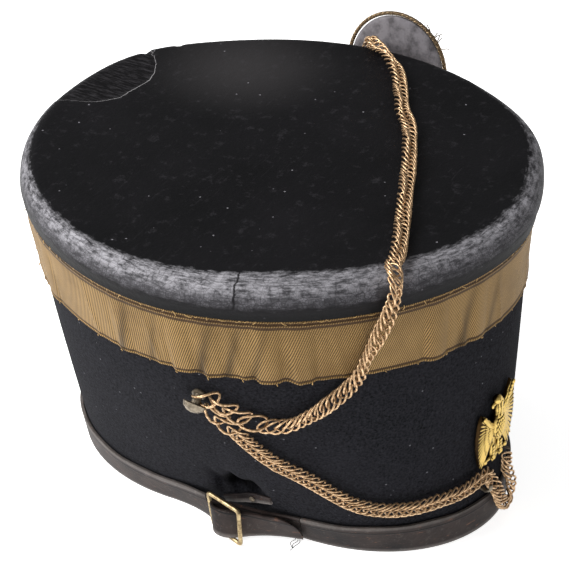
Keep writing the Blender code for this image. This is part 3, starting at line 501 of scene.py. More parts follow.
lift = node(tree, "Bump", {"Height": height, "Strength": 0.5, "Distance": 0.0005})
feed(shader, {"Normal": lift, "Specular IOR Level": 0.11})
add_piece("leather_crown", points, faces, lacquer, uvs=uv, slot="black_leather",
          instead=["crown_top"], marks={"wear": wear, "torn": torn, "under_roll": under_roll})

# Lace: a wide flat braid woven from gilt thread in a steep twill, with corded edges.
# It is sewn on at its head, and stands off in puckers where its foot is caught down.
LACE_FOOT = 0.1133
LACE_THICKNESS = 0.0010
PUCKER_DEPTH = 0.0022
# Each pucker: its turn, its share of the full depth and its half width in degrees.
PUCKERS = [(-128, 0.4, 4.0), (-101, 0.4, 3.0), (-85, 0.7, 3.5), (-78, 0.6, 3.0), (-66, 1.0, 3.5),
           (-59, 0.9, 3.5), (-30, 0.7, 3.5), (-18, 0.4, 3.0)]
# Fine creases: turn and share of the full depth.
CREASES = [(-74, 0.35), (-70.5, 0.25), (-81.5, 0.3), (-89, 0.2), (-94, 0.25), (-62.5, 0.3),
           (-53, 0.2), (-47, 0.15), (-25, 0.3), (-12, 0.2), (5, 0.2), (-112, 0.2), (-138, 0.2),
           (40, 0.2), (75, 0.3), (110, 0.2), (140, 0.3), (170, 0.2)]
# Folds deep enough to lie in shade: turn, half width in degrees and darkness.
DEEP_FOLDS = [(-100.5, 1.1, 0.75), (-92.5, 1.0, 0.5), (-79.5, 1.3, 0.8), (-73.5, 1.0, 0.7),
              (-68.0, 0.9, 0.5), (-46.5, 1.0, 0.5), (-22.0, 1.3, 0.7), (-13.0, 1.0, 0.5)]
# Woven cords along the edges: level above the foot, half width and rise. Grooves: level, reach.
CORDS = [(0.00055, 0.00055, 0.00035), (0.0288, 0.0006, 0.0003), (0.0306, 0.0006, 0.0004)]
GROOVES = [(0.0016, 0.0003), (0.0277, 0.0005), (0.0296, 0.0005)]


def fold_shade(turn, share_up):
    """How dark the valley of each fold is, deepest towards the foot."""
    shade = np.zeros_like(turn)
    for middle, half, dark in DEEP_FOLDS:
        away = swing(turn, middle + 4.0 * (share_up - 0.3))
        shade = np.maximum(shade, dark * np.exp(-(away / half) ** 2))
    return shade * np.clip(1.15 - share_up * 1.15, 0, 1) ** 0.6


def pucker(turn, share_up):
    """How far the lace stands off, its puckers falling steeply away on both sides."""
    rise = np.zeros_like(turn)
    for middle, share, half_width in PUCKERS:
        away = swing(turn, middle)
        rise = rise + 1.35 * share * PUCKER_DEPTH * np.exp(-(away / half_width) ** 2)
        rise = rise - 0.70 * share * PUCKER_DEPTH * np.exp(-((away + 0.8 * half_width) / 1.0) ** 2)
        rise = rise - 0.45 * share * PUCKER_DEPTH * np.exp(-((away - 0.9 * half_width) / 0.8) ** 2)
    for middle, share in CREASES:
        away = swing(turn, middle + 3.0 * (1 - share_up))
        rise = rise + share * PUCKER_DEPTH * np.exp(-(away / 0.7) ** 2)
    return np.clip(rise, 0.0, None) * np.sin(np.pi * (0.45 + 0.55 * share_up))


# Rings of points up the lace, closest at its corded edges. 'fold' marks the shaded valleys.
turns = closed_turns(720)
lace_width = FLANGE_FOOT - GAP - LACE_FOOT
levels = np.concatenate([np.linspace(0, 0.0022, 9), np.linspace(0.003, 0.0268, 12),
                         np.linspace(0.0272, lace_width, 13)])
levels = np.unique(np.round(levels, 6))
rows, shades = [], []
for level in levels:
    shades.append(fold_shade(turns, level / lace_width))
    swell = LACE_THICKNESS * 0.62
    for middle, half, rise in CORDS:
        if abs(level - middle) < half:
            swell += rise * (1 - ((level - middle) / half) ** 2) ** 0.5
    rows.append(wall_point(turns, LACE_FOOT + level,
                           GAP + swell + pucker(turns, level / lace_width)))
for level in (lace_width, 0.0):
    rows.append(wall_point(turns, LACE_FOOT + level, GAP + pucker(turns, level / lace_width)))
    shades.append(np.zeros(len(turns)))
stack = np.array(rows)
around = ROUND_LENGTH * (turns + 180.0) / 360.0
uv = np.stack([np.tile(around, len(stack)),
               np.repeat(np.concatenate([levels, [lace_width, 0.0]]), len(turns))], axis=1)

# Braid of silk cores wound with gilt silver strip. It has a soft metal glint on each rib of the
# twill, and has tarnished to brown between them. The real ribs are about 0.5 mm apart, and are
# drawn at 0.95 mm so that they show.
TWILL_SPACING = 0.00095
braid, tree, shader = new_finish("gilt_thread_braid")
uv_node = node(tree, "UVMap", uv_map="UVMap").outputs["UV"]
place = node(tree, "TexCoord").outputs["Object"]
axes = node(tree, "SeparateXYZ", {"Vector": uv_node})
# Steep ribs of the twill, crossed by finer picks of the weft.
slant = node(tree, "Math", {0: axes.outputs["Y"], 1: -0.42, 2: axes.outputs["X"]},
             operation="MULTIPLY_ADD")
turned = node(tree, "Math", {0: slant, 1: 2 * math.pi / TWILL_SPACING}, operation="MULTIPLY")
ribs = node(tree, "Math", {0: turned}, operation="SINE")
cross = node(tree, "Math", {0: axes.outputs["Y"], 1: 2 * math.pi / (0.8 * TWILL_SPACING)},
             operation="MULTIPLY")
picks = node(tree, "Math", {0: cross}, operation="SINE")
weave = node(tree, "Math", {0: picks, 1: 0.35, 2: ribs}, operation="MULTIPLY_ADD")
raised = node(tree, "MapRange", {"Value": weave, "From Min": -1.2, "From Max": 1.2})
# Gilt thread, tarnished in clouds, with dark grooves beside the edge cords.
tarnish = node(tree, "TexNoise", {"Vector": place, "Scale": spaced(22.22), "Detail": 5.0,
                                  "Roughness": 0.65})
thread = node(tree, "ValToRGB", {"Fac": raised}, ramp=[(0.15, "#3f2f17"), (0.75, "#a98957")])
aged = node(tree, "MapRange", {"Value": tarnish, "From Min": 0.40, "From Max": 0.70, "To Min": 0.0,
                               "To Max": 0.45})
toned = node(tree, "Mix", {"Factor": aged, "A": thread, "B": "#5d4627"}, data_type="RGBA")
shade = toned
for level, reach in GROOVES:
    away = node(tree, "Math", {0: axes.outputs["Y"], 1: level}, operation="SUBTRACT")
    far = node(tree, "Math", {0: away}, operation="ABSOLUTE")
    line = node(tree, "MapRange", {"Value": far, "From Min": reach, "From Max": reach + 0.0004,
                                   "To Min": 0.9, "To Max": 0.0})
    lined = node(tree, "Mix", {"Factor": line, "A": shade, "B": "#3a2819"}, data_type="RGBA")
    shade = lined
# Painted shade in the valleys of the deep folds.
valley = node(tree, "Attribute", attribute_name="fold").outputs["Fac"]
folded = node(tree, "Mix", {"Factor": valley, "A": shade, "B": "#2a1e10"}, data_type="RGBA")
feed(shader, {"Base Color": folded})
lift = node(tree, "Bump", {"Height": raised, "Strength": 0.6, "Distance": 0.0003})
feed(shader, {"Normal": lift, "Metallic": 0.45, "Roughness": 0.6, "Specular IOR Level": 0.25})
add_piece("gilt_lace", stack.reshape(-1, 3),
          ring_faces(len(stack), len(turns), closed_stack=True), braid, uvs=uv,
          slot="gold_lace", instead=["lace_band"], marks={"fold": np.concatenate(shades)})


def sweep(path, radius, sides, closed=False):
    """Rings of points round a path, with the faces between them and over the ends."""
    path = np.asarray(path, float)
    count = len(path)
    if closed:
        run = np.roll(path, -1, axis=0) - np.roll(path, 1, axis=0)
    else:
        run = np.gradient(path, axis=0)
    run /= np.linalg.norm(run, axis=1, keepdims=True)
    side = np.cross(run[0], [0.0, 0.0, 1.0])
    if np.linalg.norm(side) < 0.2:
        side = np.cross(run[0], [1.0, 0.0, 0.0])
    rings = []
    for step in range(count):
        side = side - run[step] * np.dot(side, run[step])
        side /= np.linalg.norm(side)
        other = np.cross(run[step], side)
        angles = np.linspace(0, 2 * np.pi, sides, endpoint=False)
        rings.append(path[step] + radius * (np.cos(angles)[:, None] * side
                                            + np.sin(angles)[:, None] * other))
    faces = ring_faces(count, sides, closed_stack=closed)
    if not closed:
        faces.append(tuple(range(sides))[::-1])
        faces.append(tuple(range((count - 1) * sides, count * sides)))
    return np.concatenate(rings), faces


def set_out(name, shape, places, turned, material, sizes=None, tumble=0.0, seed=1):
    """Geometry Nodes put one shape at many places, turned as each place says."""
    cloud = bpy.data.meshes.new(name)
    cloud.from_pydata([tuple(place) for place in places], [], [])
    cloud.attributes.new("turned", "FLOAT_VECTOR", "POINT").data.foreach_set(
        "vector", np.asarray(turned, float).ravel())
    cloud.attributes.new("size", "FLOAT", "POINT").data.foreach_set(
        "value", np.ones(len(places)) if sizes is None else np.asarray(sizes, float))
    carrier = bpy.data.objects.new(name, cloud)
    bpy.context.collection.objects.link(carrier)
    pattern = bpy.data.objects.new(name + "_pattern", shape)
    bpy.context.collection.objects.link(pattern)
    tree = bpy.data.node_groups.new(name, "GeometryNodeTree")
    tree.interface.new_socket("Places", in_out="INPUT", socket_type="NodeSocketGeometry")
    shape_in = tree.interface.new_socket("Shape", in_out="INPUT", socket_type="NodeSocketObject")
    tumble_in = tree.interface.new_socket("Tumble", in_out="INPUT", socket_type="NodeSocketFloat")
    seed_in = tree.interface.new_socket("Seed", in_out="INPUT", socket_type="NodeSocketInt")
    finish_in = tree.interface.new_socket("Finish", in_out="INPUT",
                                          socket_type="NodeSocketMaterial")
    tree.interface.new_socket("Pieces", in_out="OUTPUT", socket_type="NodeSocketGeometry")
    # Each place's own turn, then a small random tumble on top of it.
    given = node(tree, "NodeGroupInput")
    facing = node(tree, "GeometryNodeInputNamedAttribute", {"Name": "turned"},
                  data_type="FLOAT_VECTOR")
    grown = node(tree, "GeometryNodeInputNamedAttribute", {"Name": "size"}, data_type="FLOAT")
    least = node(tree, "Math", {0: given.outputs["Tumble"], 1: -1.0}, operation="MULTIPLY")
    stray = node(tree, "FunctionNodeRandomValue", data_type="FLOAT_VECTOR")
    tree.links.new(least.outputs["Value"], stray.inputs[0])
    tree.links.new(given.outputs["Tumble"], stray.inputs[1])
    tree.links.new(given.outputs["Seed"], stray.inputs["Seed"])
    facing_way = node(tree, "FunctionNodeEulerToRotation", {0: facing.outputs[0]})
    stray_way = node(tree, "FunctionNodeEulerToRotation", {0: stray.outputs[0]})
    way = node(tree, "FunctionNodeRotateRotation", {"Rotation": facing_way.outputs[0],
                                                    "Rotate By": stray_way.outputs[0]},
               rotation_space="LOCAL")
    pick = node(tree, "GeometryNodeObjectInfo", {"Object": given.outputs["Shape"]})
    set_down = node(tree, "GeometryNodeInstanceOnPoints", {"Points": given.outputs["Places"],
                                                           "Instance": pick.outputs["Geometry"],
                                                           "Rotation": way.outputs[0],
                                                           "Scale": grown.outputs[0]})
    real = node(tree, "GeometryNodeRealizeInstances", {"Geometry": set_down.outputs[0]})
    dressed = node(tree, "GeometryNodeSetMaterial", {"Geometry": real.outputs[0],
                                                     "Material": given.outputs["Finish"]})
    node(tree, "NodeGroupOutput", {0: dressed.outputs[0]})
    modifier = carrier.modifiers.new("set_out", "NODES")
    modifier.node_group = tree
    modifier[shape_in.identifier] = pattern
    modifier[tumble_in.identifier] = tumble
    modifier[seed_in.identifier] = seed
    modifier[finish_in.identifier] = material
    bpy.context.view_layer.update()
    view = bpy.context.evaluated_depsgraph_get()
    whole = bpy.data.meshes.new_from_object(carrier.evaluated_get(view))
    carrier.modifiers.clear()
    carrier.data = whole
    whole.name = name
    bpy.data.objects.remove(pattern, do_unlink=True)
    if len(whole.materials) == 0:
        whole.materials.append(material)
    whole.shade_smooth()
    return carrier


# Lace edges: gold thread ends fray out at the head, and the knots of the sewing thread show
# along the foot. Both are ends of the lace's own gilt thread, teased loose by wear.
FRAYED_WIRE = 0.00016
KNOT_WIRE = 0.00030
# Loose gilt thread: brighter than the braid, because its turns lie open to the light.
thread_gold, tree, shader = new_finish("loose_gold_thread")
feed(shader, {"Base Color": "#b8965f", "Roughness": 0.45, "Metallic": 0.4})


def thread_shape(name, path, radius):
    """A short bent thread as a mesh, for set_out."""
    points, faces = sweep(path, radius, 5)
    mesh = bpy.data.meshes.new(name)
    mesh.from_pydata([tuple(point) for point in points], [], faces)
    return mesh


def on_lace(turns, level, out, seed, amount, sizes):
    """Scattered places along one edge of the lace, faced outwards, with their sizes."""
    chance = np.random.RandomState(seed)
    turns = np.asarray(turns) + chance.uniform(-1.2, 1.2, len(turns))
    share = level / lace_width
    places = wall_point(turns, LACE_FOOT + level, GAP + LACE_THICKNESS + out + pucker(turns, share))
    ways = outward(turns, LACE_FOOT + level)
    turned = [(chance.uniform(-0.3, 0.3), chance.uniform(-amount, amount),
               math.atan2(-way[0], way[1]) + math.pi) for way in ways]
    return places, turned, chance.uniform(*sizes, len(turns))


places, turned, sizes = on_lace(np.linspace(-180, 178, 150), lace_width - 0.0007, 0.0001, 3, 1.3,
                                (0.5, 1.2))
frayed = set_out("frayed_thread_ends", thread_shape("frayed_end", [
    (-0.0011, 0.0, -0.0002), (-0.0004, -0.0004, 0.0001), (0.0004, -0.0005, 0.0004),
    (0.0011, -0.0007, 0.0013)], FRAYED_WIRE), places, turned, thread_gold, sizes, 0.5, 3)
places, turned, sizes = on_lace(np.linspace(-178, 172, 47), 0.0004, 0.0, 8, 0.9, (0.35, 0.9))
knots = set_out("edge_knots", thread_shape("edge_knot", [
    (-0.0007, 0.0, -0.0001), (-0.0002, -0.0005, -0.0003), (0.0003, -0.0005, -0.0008),
    (0.0006, -0.0003, -0.0013)], KNOT_WIRE), places, turned, thread_gold, sizes, 0.3, 8)
for piece in (frayed, knots):
    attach(piece, "root")

# Foot band and strap: brown-black leather, creased and rubbed pale along its edges.
# The band lies round the foot, and its free end runs through the buckle and back to a point.
BAND_HEIGHT = 0.0170
STRAP_FOOT = 0.0027
STRAP_HEAD = 0.0172
# The strap's free end: turn, how far its foot and its head stand off, and its share of width.
STRAP_ROUTE = [
    (-63.0, 0.0012, 0.0012, 1.0), (-68.5, 0.0034, 0.0022, 1.0), (-74.0, 0.0068, 0.0034, 1.0),
    (-80.0, 0.0105, 0.0042, 1.0), (-86.0, 0.0128, 0.0046, 1.0), (-90.5, 0.0134, 0.0050, 1.0),
    (-93.4, 0.0152, 0.0068, 1.0), (-92.0, 0.0178, 0.0092, 1.0), (-88.5, 0.0187, 0.0102, 1.0),
    (-84.5, 0.0182, 0.0100, 1.0), (-80.5, 0.0158, 0.0084, 1.0), (-76.5, 0.0124, 0.0070, 1.0),
    (-72.5, 0.0092, 0.0060, 1.0), (-68.5, 0.0066, 0.0050, 0.98), (-65.5, 0.0052, 0.0046, 0.88),
    (-63.3, 0.0044, 0.0042, 0.62), (-61.8, 0.0040, 0.0040, 0.24)]


def smooth_curve(points, pieces=16):
    """Close-set points on a smooth curve through the given ones."""
    points = np.asarray(points, float)
    padded = np.concatenate([[points[0] * 2 - points[1]], points, [points[-1] * 2 - points[-2]]])
    fine = []
    for before, start, end, after in zip(padded, padded[1:], padded[2:], padded[3:]):
        share = np.linspace(0, 1, pieces, endpoint=False)[:, None]
        fine.append(0.5 * (2 * start + (end - before) * share
                           + (2 * before - 5 * start + 4 * end - after) * share ** 2
                           + (3 * start - before - 3 * end + after) * share ** 3))
    return np.concatenate(fine + [points[-1:]])


def even_path(points, steps):
    """A set number of equal steps along the smooth curve."""
    fine = smooth_curve(points)
    travel = np.concatenate([[0.0], np.cumsum(np.linalg.norm(np.diff(fine, axis=0), axis=1))])
    marks = np.linspace(0, travel[-1], steps + 1)
    return np.stack([np.interp(marks, travel, fine[:, axis]) for axis in range(3)], axis=1)


def strap_mesh(name, feet, heads, thickness, material, **how):
    """A strap between a foot line and a head line, with softened edges."""
    feet, heads = np.asarray(feet), np.asarray(heads)
    run = np.gradient((feet + heads) / 2, axis=0)
    side = np.stack([run[:, 1], -run[:, 0], np.zeros(len(run))], axis=1)
    side /= np.linalg.norm(side, axis=1, keepdims=True)
    soft = 0.32 * thickness
    width = np.linalg.norm(heads - feet, axis=1, keepdims=True)
    up = (heads - feet) / width
    ring = []
    for across, along in ((-0.5, soft), (-0.5 + 0.2, 0.0), (0.5 - 0.2, 0.0), (0.5, soft)):
        ring.append(feet + side * thickness * across + up * along)
    for share in np.linspace(0.12, 0.88, 9):
        ring.append(feet + (heads - feet) * share + side * thickness * 0.5)
    for across, along in ((0.5, soft), (0.5 - 0.2, 0.0), (-0.5 + 0.2, 0.0), (-0.5, soft)):
        ring.append(heads + side * thickness * across - up * along)
    for share in np.linspace(0.88, 0.12, 5):
        ring.append(feet + (heads - feet) * share - side * thickness * 0.5)
    ring = np.array(ring)
    count, steps = ring.shape[0], ring.shape[1]
    travel = np.concatenate([[0.0], np.cumsum(np.linalg.norm(np.diff(feet, axis=0), axis=1))])
    faces = []
    for step in range(steps - 1):
        for corner in range(count):
            after = (corner + 1) % count
            faces.append((corner * steps + step, after * steps + step,
                          after * steps + step + 1, corner * steps + step + 1))
    faces.append(tuple(corner * steps for corner in range(count))[::-1])
    faces.append(tuple(corner * steps + steps - 1 for corner in range(count)))
    tall = np.sum((ring - feet[None]) * up[None], axis=2)
    uv = np.stack([np.tile(travel, count), tall.ravel()], axis=1)
    add_piece(name, ring.reshape(-1, 3), faces, material, uvs=uv, **how)


# Harness leather, tanned brown, blacked and waxed. It is dark and slightly glossy, grazed pale
# along both edges, scuffed through to red-brown in spots, with one line pressed along its head.
# The grain is about 0.5 mm, drawn at 1.1 mm.
CREASE_LEVEL = 0.0138
hide, tree, shader = new_finish("strap_leather")
place = node(tree, "TexCoord").outputs["Object"]
uv_node = node(tree, "UVMap", uv_map="UVMap").outputs["UV"]
axes = node(tree, "SeparateXYZ", {"Vector": uv_node})
grain = node(tree, "TexVoronoi", {"Vector": place, "Scale": spaced(1.111)})
stains = node(tree, "TexNoise", {"Vector": place, "Scale": spaced(16.67), "Detail": 6.0,
                                 "Roughness": 0.7})
scuffs = node(tree, "TexNoise", {"Vector": place, "Scale": spaced(3.846), "Detail": 8.0,
                                 "Roughness": 0.8})
browned = node(tree, "ValToRGB", {"Fac": stains}, ramp=[(0.32, "#151112"), (0.72, "#3a2f2b")])
rubbed = node(tree, "MapRange", {"Value": scuffs, "From Min": 0.56, "From Max": 0.74, "To Min": 0.0,
                                 "To Max": 0.5})
flaw_way = node(tree, "Mapping", {"Vector": uv_node, "Scale": (spaced(9.091), spaced(2.381), 1.0)})
flaws = node(tree, "TexNoise", {"Vector": flaw_way, "Scale": 1.0, "Detail": 5.0, "Roughness": 0.75})
bare = node(tree, "MapRange", {"Value": flaws, "From Min": 0.60, "From Max": 0.70, "To Min": 0.0,
                               "To Max": 0.75})
# Both edges are grazed pale, in broken lines.
foot_edge = node(tree, "MapRange", {"Value": axes.outputs["Y"], "From Min": 0.0, "From Max": 0.0030,
                                    "To Min": 1.1, "To Max": 0.0})
edge_broken = node(tree, "Math", {0: foot_edge, 1: scuffs}, operation="MULTIPLY")
head_edge = node(tree, "MapRange", {"Value": axes.outputs["Y"], "From Min": 0.0155,
                                    "From Max": 0.0168, "To Min": 0.0, "To Max": 0.7})
head_broken = node(tree, "Math", {0: head_edge, 1: scuffs}, operation="MULTIPLY")
tone = browned
for mask, hex_code in ((rubbed, "#77706c"), (bare, "#7a5340"), (edge_broken, "#97918d"),
                       (head_broken, "#8a8480")):
    tone = node(tree, "Mix", {"Factor": mask, "A": tone, "B": hex_code}, data_type="RGBA")
# The line pressed along the head is a groove, and dark.
crease_far = node(tree, "Math", {0: axes.outputs["Y"], 1: CREASE_LEVEL}, operation="SUBTRACT")
crease_abs = node(tree, "Math", {0: crease_far}, operation="ABSOLUTE")
crease = node(tree, "MapRange", {"Value": crease_abs, "From Min": 0.0002, "From Max": 0.0005})
creased = node(tree, "Mix", {"Factor": crease, "A": "#0d0b0b", "B": tone}, data_type="RGBA")
feed(shader, {"Base Color": creased})
pitted = node(tree, "Math", {0: grain, 1: 0.5, 2: crease}, operation="MULTIPLY_ADD")
lift = node(tree, "Bump", {"Height": pitted, "Strength": 0.4, "Distance": 0.0003})
feed(shader, {"Normal": lift, "Roughness": 0.6, "Specular IOR Level": 0.2})

# The band goes round the foot, its edge slightly wavy, and lifts off where the buckle pulls it.
band_turns = np.linspace(-62.7, 263.0, 330)
waver = (0.00025 * np.sin(np.radians(band_turns * 9.0))
         + 0.0002 * np.sin(np.radians(band_turns * 23.0)))
lifted = np.clip(1 - (band_turns[-1] - band_turns) / 18.0, 0, None) ** 2
feet = wall_point(band_turns, 0.0, GAP + 0.0075 * lifted + LEATHER / 2)
heads = wall_point(band_turns, BAND_HEIGHT, GAP + 0.0016 * lifted + LEATHER / 2)
heads[:, 2] += waver
strap_mesh("foot_band", feet, heads, LEATHER, hide, slot="strap_leather", instead=["base_band"])
foot_points, head_points = [], []
for turn, foot, head, share in STRAP_ROUTE:
    low = wall_point(turn, STRAP_FOOT, foot)
    foot_points.append(low)
    head_points.append(low + (wall_point(turn, STRAP_HEAD, head) - low) * share)
strap_mesh("buckled_strap", even_path(foot_points, 120), even_path(head_points, 120), LEATHER,
           hide, slot="strap_leather", instead=["cinch_strap"])
# The narrow tab: turn, how far it stands off, and the height of its foot.
TAB_WIDTH = 0.005
TAB_LEATHER = 0.0012
TAB_ROUTE = [(-90.0, 0.0015, 0.01376), (-84.0, 0.00156, 0.01634), (-78.0, 0.00168, 0.01944),
             (-71.0, 0.0015, 0.02305)]
tab_feet = even_path([wall_point(turn, foot, out) for turn, out, foot in TAB_ROUTE], 30)
tab_heads = even_path([wall_point(turn, foot + TAB_WIDTH, out)
                       for turn, out, foot in TAB_ROUTE], 30)
strap_mesh("small_tab", tab_feet, tab_heads, TAB_LEATHER, hide, slot="strap_leather",
           instead=["strap_tab"])


def metal(name, deep, bright, grain=3.333, rough=0.35):
    """Metal clouded with tarnish from deep to bright, its clouds this many mm apart."""
    material, tree, shader = new_finish(name)
    place = node(tree, "TexCoord").outputs["Object"]
    cloud = node(tree, "TexNoise", {"Vector": place, "Scale": spaced(grain), "Detail": 5.0,
                                    "Roughness": 0.7})
    tone = node(tree, "ValToRGB", {"Fac": cloud}, ramp=[(0.34, deep), (0.62, bright)])
    feed(shader, {"Base Color": tone})
    dull = node(tree, "MapRange", {"Value": cloud, "From Min": 0.3, "From Max": 0.7,
                                   "To Min": rough + 0.2, "To Max": rough})
    feed(shader, {"Roughness": dull})
    lift = node(tree, "Bump", {"Height": cloud, "Strength": 0.25, "Distance": 0.0002})
    feed(shader, {"Normal": lift, "Metallic": 1.0})
    return material




def joined(bodies):
    """Several bodies' points and faces as one mesh's."""
    points, faces = np.zeros((0, 3)), []
    for more, more_faces in bodies:
        faces += [tuple(corner + len(points) for corner in face) for face in more_faces]
        points = np.concatenate([points, more])
    return points, faces


# Thread ends: three ends of waxed linen thread hang from the strap's tip, where its stitches
# have gone. They are near black, with no gloss left.
THREAD_WIRE = 0.00017
loose = np.array(foot_points[-2])
ends = []
for across, drop in ((0.000, 0.0), (0.0012, 0.0008), (-0.0014, 0.0003)):
    start = loose + np.array([-0.0002 - across * 0.4, -across, 0.0003])
    ends.append([start, start + np.array([-0.0010, -0.0004, -0.0010]),
                 start + np.array([-0.0026 - drop, 0.0010, -0.0020]),
                 start + np.array([-0.0046 - drop * 2, 0.0004 + across, -0.0023])])
points, faces = joined([sweep(smooth_curve(end, 5), THREAD_WIRE, 5) for end in ends])
dark_thread, tree, shader = new_finish("dark_waxed_thread")
feed(shader, {"Base Color": "#252120", "Roughness": 0.8})
add_piece("loose_stitches", points, faces, dark_thread, slot="strap_leather")

# Buckle: a frame of round brass wire with its gilding mostly worn away.
# It is bent to four rounded corners: height, turn and how far each stands off the wall.
BUCKLE_WIRE = 0.0010
BUCKLE_BEND = 0.0018
BUCKLE_CORNERS = [(0.0015, -95.8, 0.0120), (0.0203, -95.0, 0.0036),
                  (0.0203, -79.2, 0.0112), (0.0015, -78.0, 0.0196)]
# Brass wire, bright where it is handled and brown where it isn't.
worn_brass = metal("worn_brass_wire", "#5d4c38", "#c9b48a", rough=0.35)
corners = [wall_point(turn, height, outset) for height, turn, outset in BUCKLE_CORNERS]
path = []
for place_in, corner in enumerate(corners):
    before, after = corners[place_in - 1], corners[(place_in + 1) % 4]
    to_last = (before - corner) / np.linalg.norm(before - corner) * BUCKLE_BEND
    to_next = (after - corner) / np.linalg.norm(after - corner) * BUCKLE_BEND
    for share in np.linspace(0, 1, 7):
        path.append(corner + to_last * (1 - share) ** 2 + to_next * share ** 2)
points, faces = sweep(path, BUCKLE_WIRE, 12, closed=True)
add_piece("wire_buckle", points, faces, worn_brass, slot="gilt", instead=["buckle_frame"])

# Studs, rivet, hook and pins: turned or bent bronze, set through the wall. They are the CAD
# solids with a better finish: bronze gone dull grey-brown with age, with a little gloss left.
dull_bronze = metal("dull_bronze", "#4c453c", "#9a8e7c", rough=0.4)
for name in ("stud_right", "stud_left", "tab_rivet", "chain_hook", "end_pin", "cockade_pin"):
    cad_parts[name].data.materials.clear()
    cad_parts[name].data.materials.append(dull_bronze)

# Chin chain: a double curb of bronze wire links, each passing through the next two.
# It is caught on the right stud, runs over the crown, and its slack hangs along the front.
LINK_HALF_LENGTH = 0.00469
LINK_HALF_WIDTH = 0.00250
LINK_SADDLE = 0.00152
LINK_SLANT = 23.6
LINK_PHASE = -109.2
LINK_WIRE = 0.00047
LINK_PAIR = 0.0063
PAIR_SPLIT = 0.00308
OPEN_GROWTH = 1.28
OPEN_SPACING = 0.0074
CHAIN_END = 0.0030
TWIST_EVERY = 0.037
CHAIN_RADIUS = 0.0030
CHAIN_LIFT = CHAIN_RADIUS + GAP + 0.05 * CHAIN_RADIUS
# Each stop on a route: what it lies on, turn and height there (or slope round the rim, or the
# shares of the crown's width and length), and how far the chain is rolled, in degrees.
OVER_ROUTE = [
    ("cloth", -82.4, 0.1000, 0), ("cloth", -79.0, 0.0995, 0), ("cloth", -76.0, 0.0965, 0),
    ("cloth", -72.0, 0.0905, 0), ("cloth", -67.5, 0.0877, 0), ("cloth", -63.0, 0.0882, 0),
    ("cloth", -59.0, 0.0928, 0), ("cloth", -54.5, 0.1000, 0), ("cloth", -50.5, 0.1075, 10),
    ("lace", -48.0, 0.1155, 15), ("lace", -46.3, 0.1250, 20), ("lace", -44.3, 0.1340, 25),
    ("leather", -42.3, 0.1430, 8), ("rim", -41.3, 5, 8), ("rim", -40.6, 35, 8),
    ("rim", -40.0, 62, 8), ("rim", -39.2, 88, 8), ("crown", -0.512, -0.722, 8),
    ("crown", -0.399, -0.683, 8), ("crown", -0.283, -0.639, 8), ("crown", -0.164, -0.594, 8),
    ("crown", -0.041, -0.548, 8), ("crown", 0.086, -0.501, 8), ("crown", 0.242, -0.436, 8),
    ("crown", 0.373, -0.374, 8), ("crown", 0.475, -0.304, 8), ("crown", 0.610, -0.235, 8),
    ("crown", 0.750, -0.160, 8), ("crown", 0.860, -0.066, 20), ("rim", 93.2, 86, 10),
    ("rim", 94.4, 60, 0), ("rim", 95.4, 32, 0), ("rim", 96.2, 5, 0),
    ("leather", 96.4, 0.1440, 0), ("lace", 96.2, 0.1340, 0), ("lace", 95.0, 0.1230, 0),
    ("lace", 93.0, 0.1130, 0), ("cloth", 90.2, 0.1060, 0), ("cloth", 87.0, 0.1010, 0),
    ("cloth", 84.4, 0.0990, 0)]
FRONT_ROUTE = [
    ("cloth", -79.5, 0.0935, 0), ("cloth", -78.2, 0.0885, 0), ("cloth", -76.5, 0.0850, 0),
    ("cloth", -73.5, 0.0765, 0), ("cloth", -70.5, 0.0690, 0), ("cloth", -66.5, 0.0615, 0),
    ("cloth", -62.0, 0.0560, 0), ("cloth", -58.0, 0.0505, 0), ("cloth", -54.0, 0.0440, 0),
    ("cloth", -49.5, 0.0375, 0), ("cloth", -44.5, 0.0330, 0), ("cloth", -38.5, 0.0308, 0),
    ("cloth", -32.0, 0.0305, 0), ("cloth", -26.0, 0.0312, 0), ("cloth", -20.0, 0.0315, 0),
    ("cloth", -16.0, 0.0326, 0), ("cloth", -13.2, 0.0336, 0), ("cloth", -10.6, 0.0328, 0),
    ("cloth", -8.6, 0.0282, 0), ("leather", -6.8, 0.0218, 0), ("leather", -4.6, 0.0150, 0),
    ("leather", -1.8, 0.0096, 0), ("leather", 1.0, 0.0076, 0), ("leather", 2.9, 0.0100, 0),
    ("leather", 3.0, 0.0165, 0), ("cloth", 2.2, 0.0240, 0), ("cloth", 0.9, 0.0308, 0),
    ("cloth", -0.4, 0.0360, 0)]


def chain_place(row):
    """Where the middle of the chain lies for one row of its route, and what faces away there."""
    under, first, second, roll = row
    if under == "crown":
        share = math.hypot(first, second) / (1 - 2 * RIM_ROUND / TOP_WIDTH)
        point = crown_middle + np.array([first * TOP_WIDTH / 2, second * TOP_LENGTH / 2,
                                         CHAIN_LIFT - float(crown_drop(share))])
        return point, np.array([0.0, 0.0, 1.0]), roll
    if under == "rim":
        point = rim_point(np.array([first]), second, CHAIN_LIFT)[0]
        base = rim_point(np.array([first]), second, 0.0)[0]
        return point, (point - base) / np.linalg.norm(point - base), roll
    thick = {"cloth": 0.0, "lace": GAP + LACE_THICKNESS + 0.2 * PUCKER_DEPTH,
             "leather": GAP + LEATHER}[under]
    away = outward(np.array([first]), second)[0]
    return wall_point(np.array([first]), second, np.array([thick + CHAIN_LIFT]))[0], away, roll


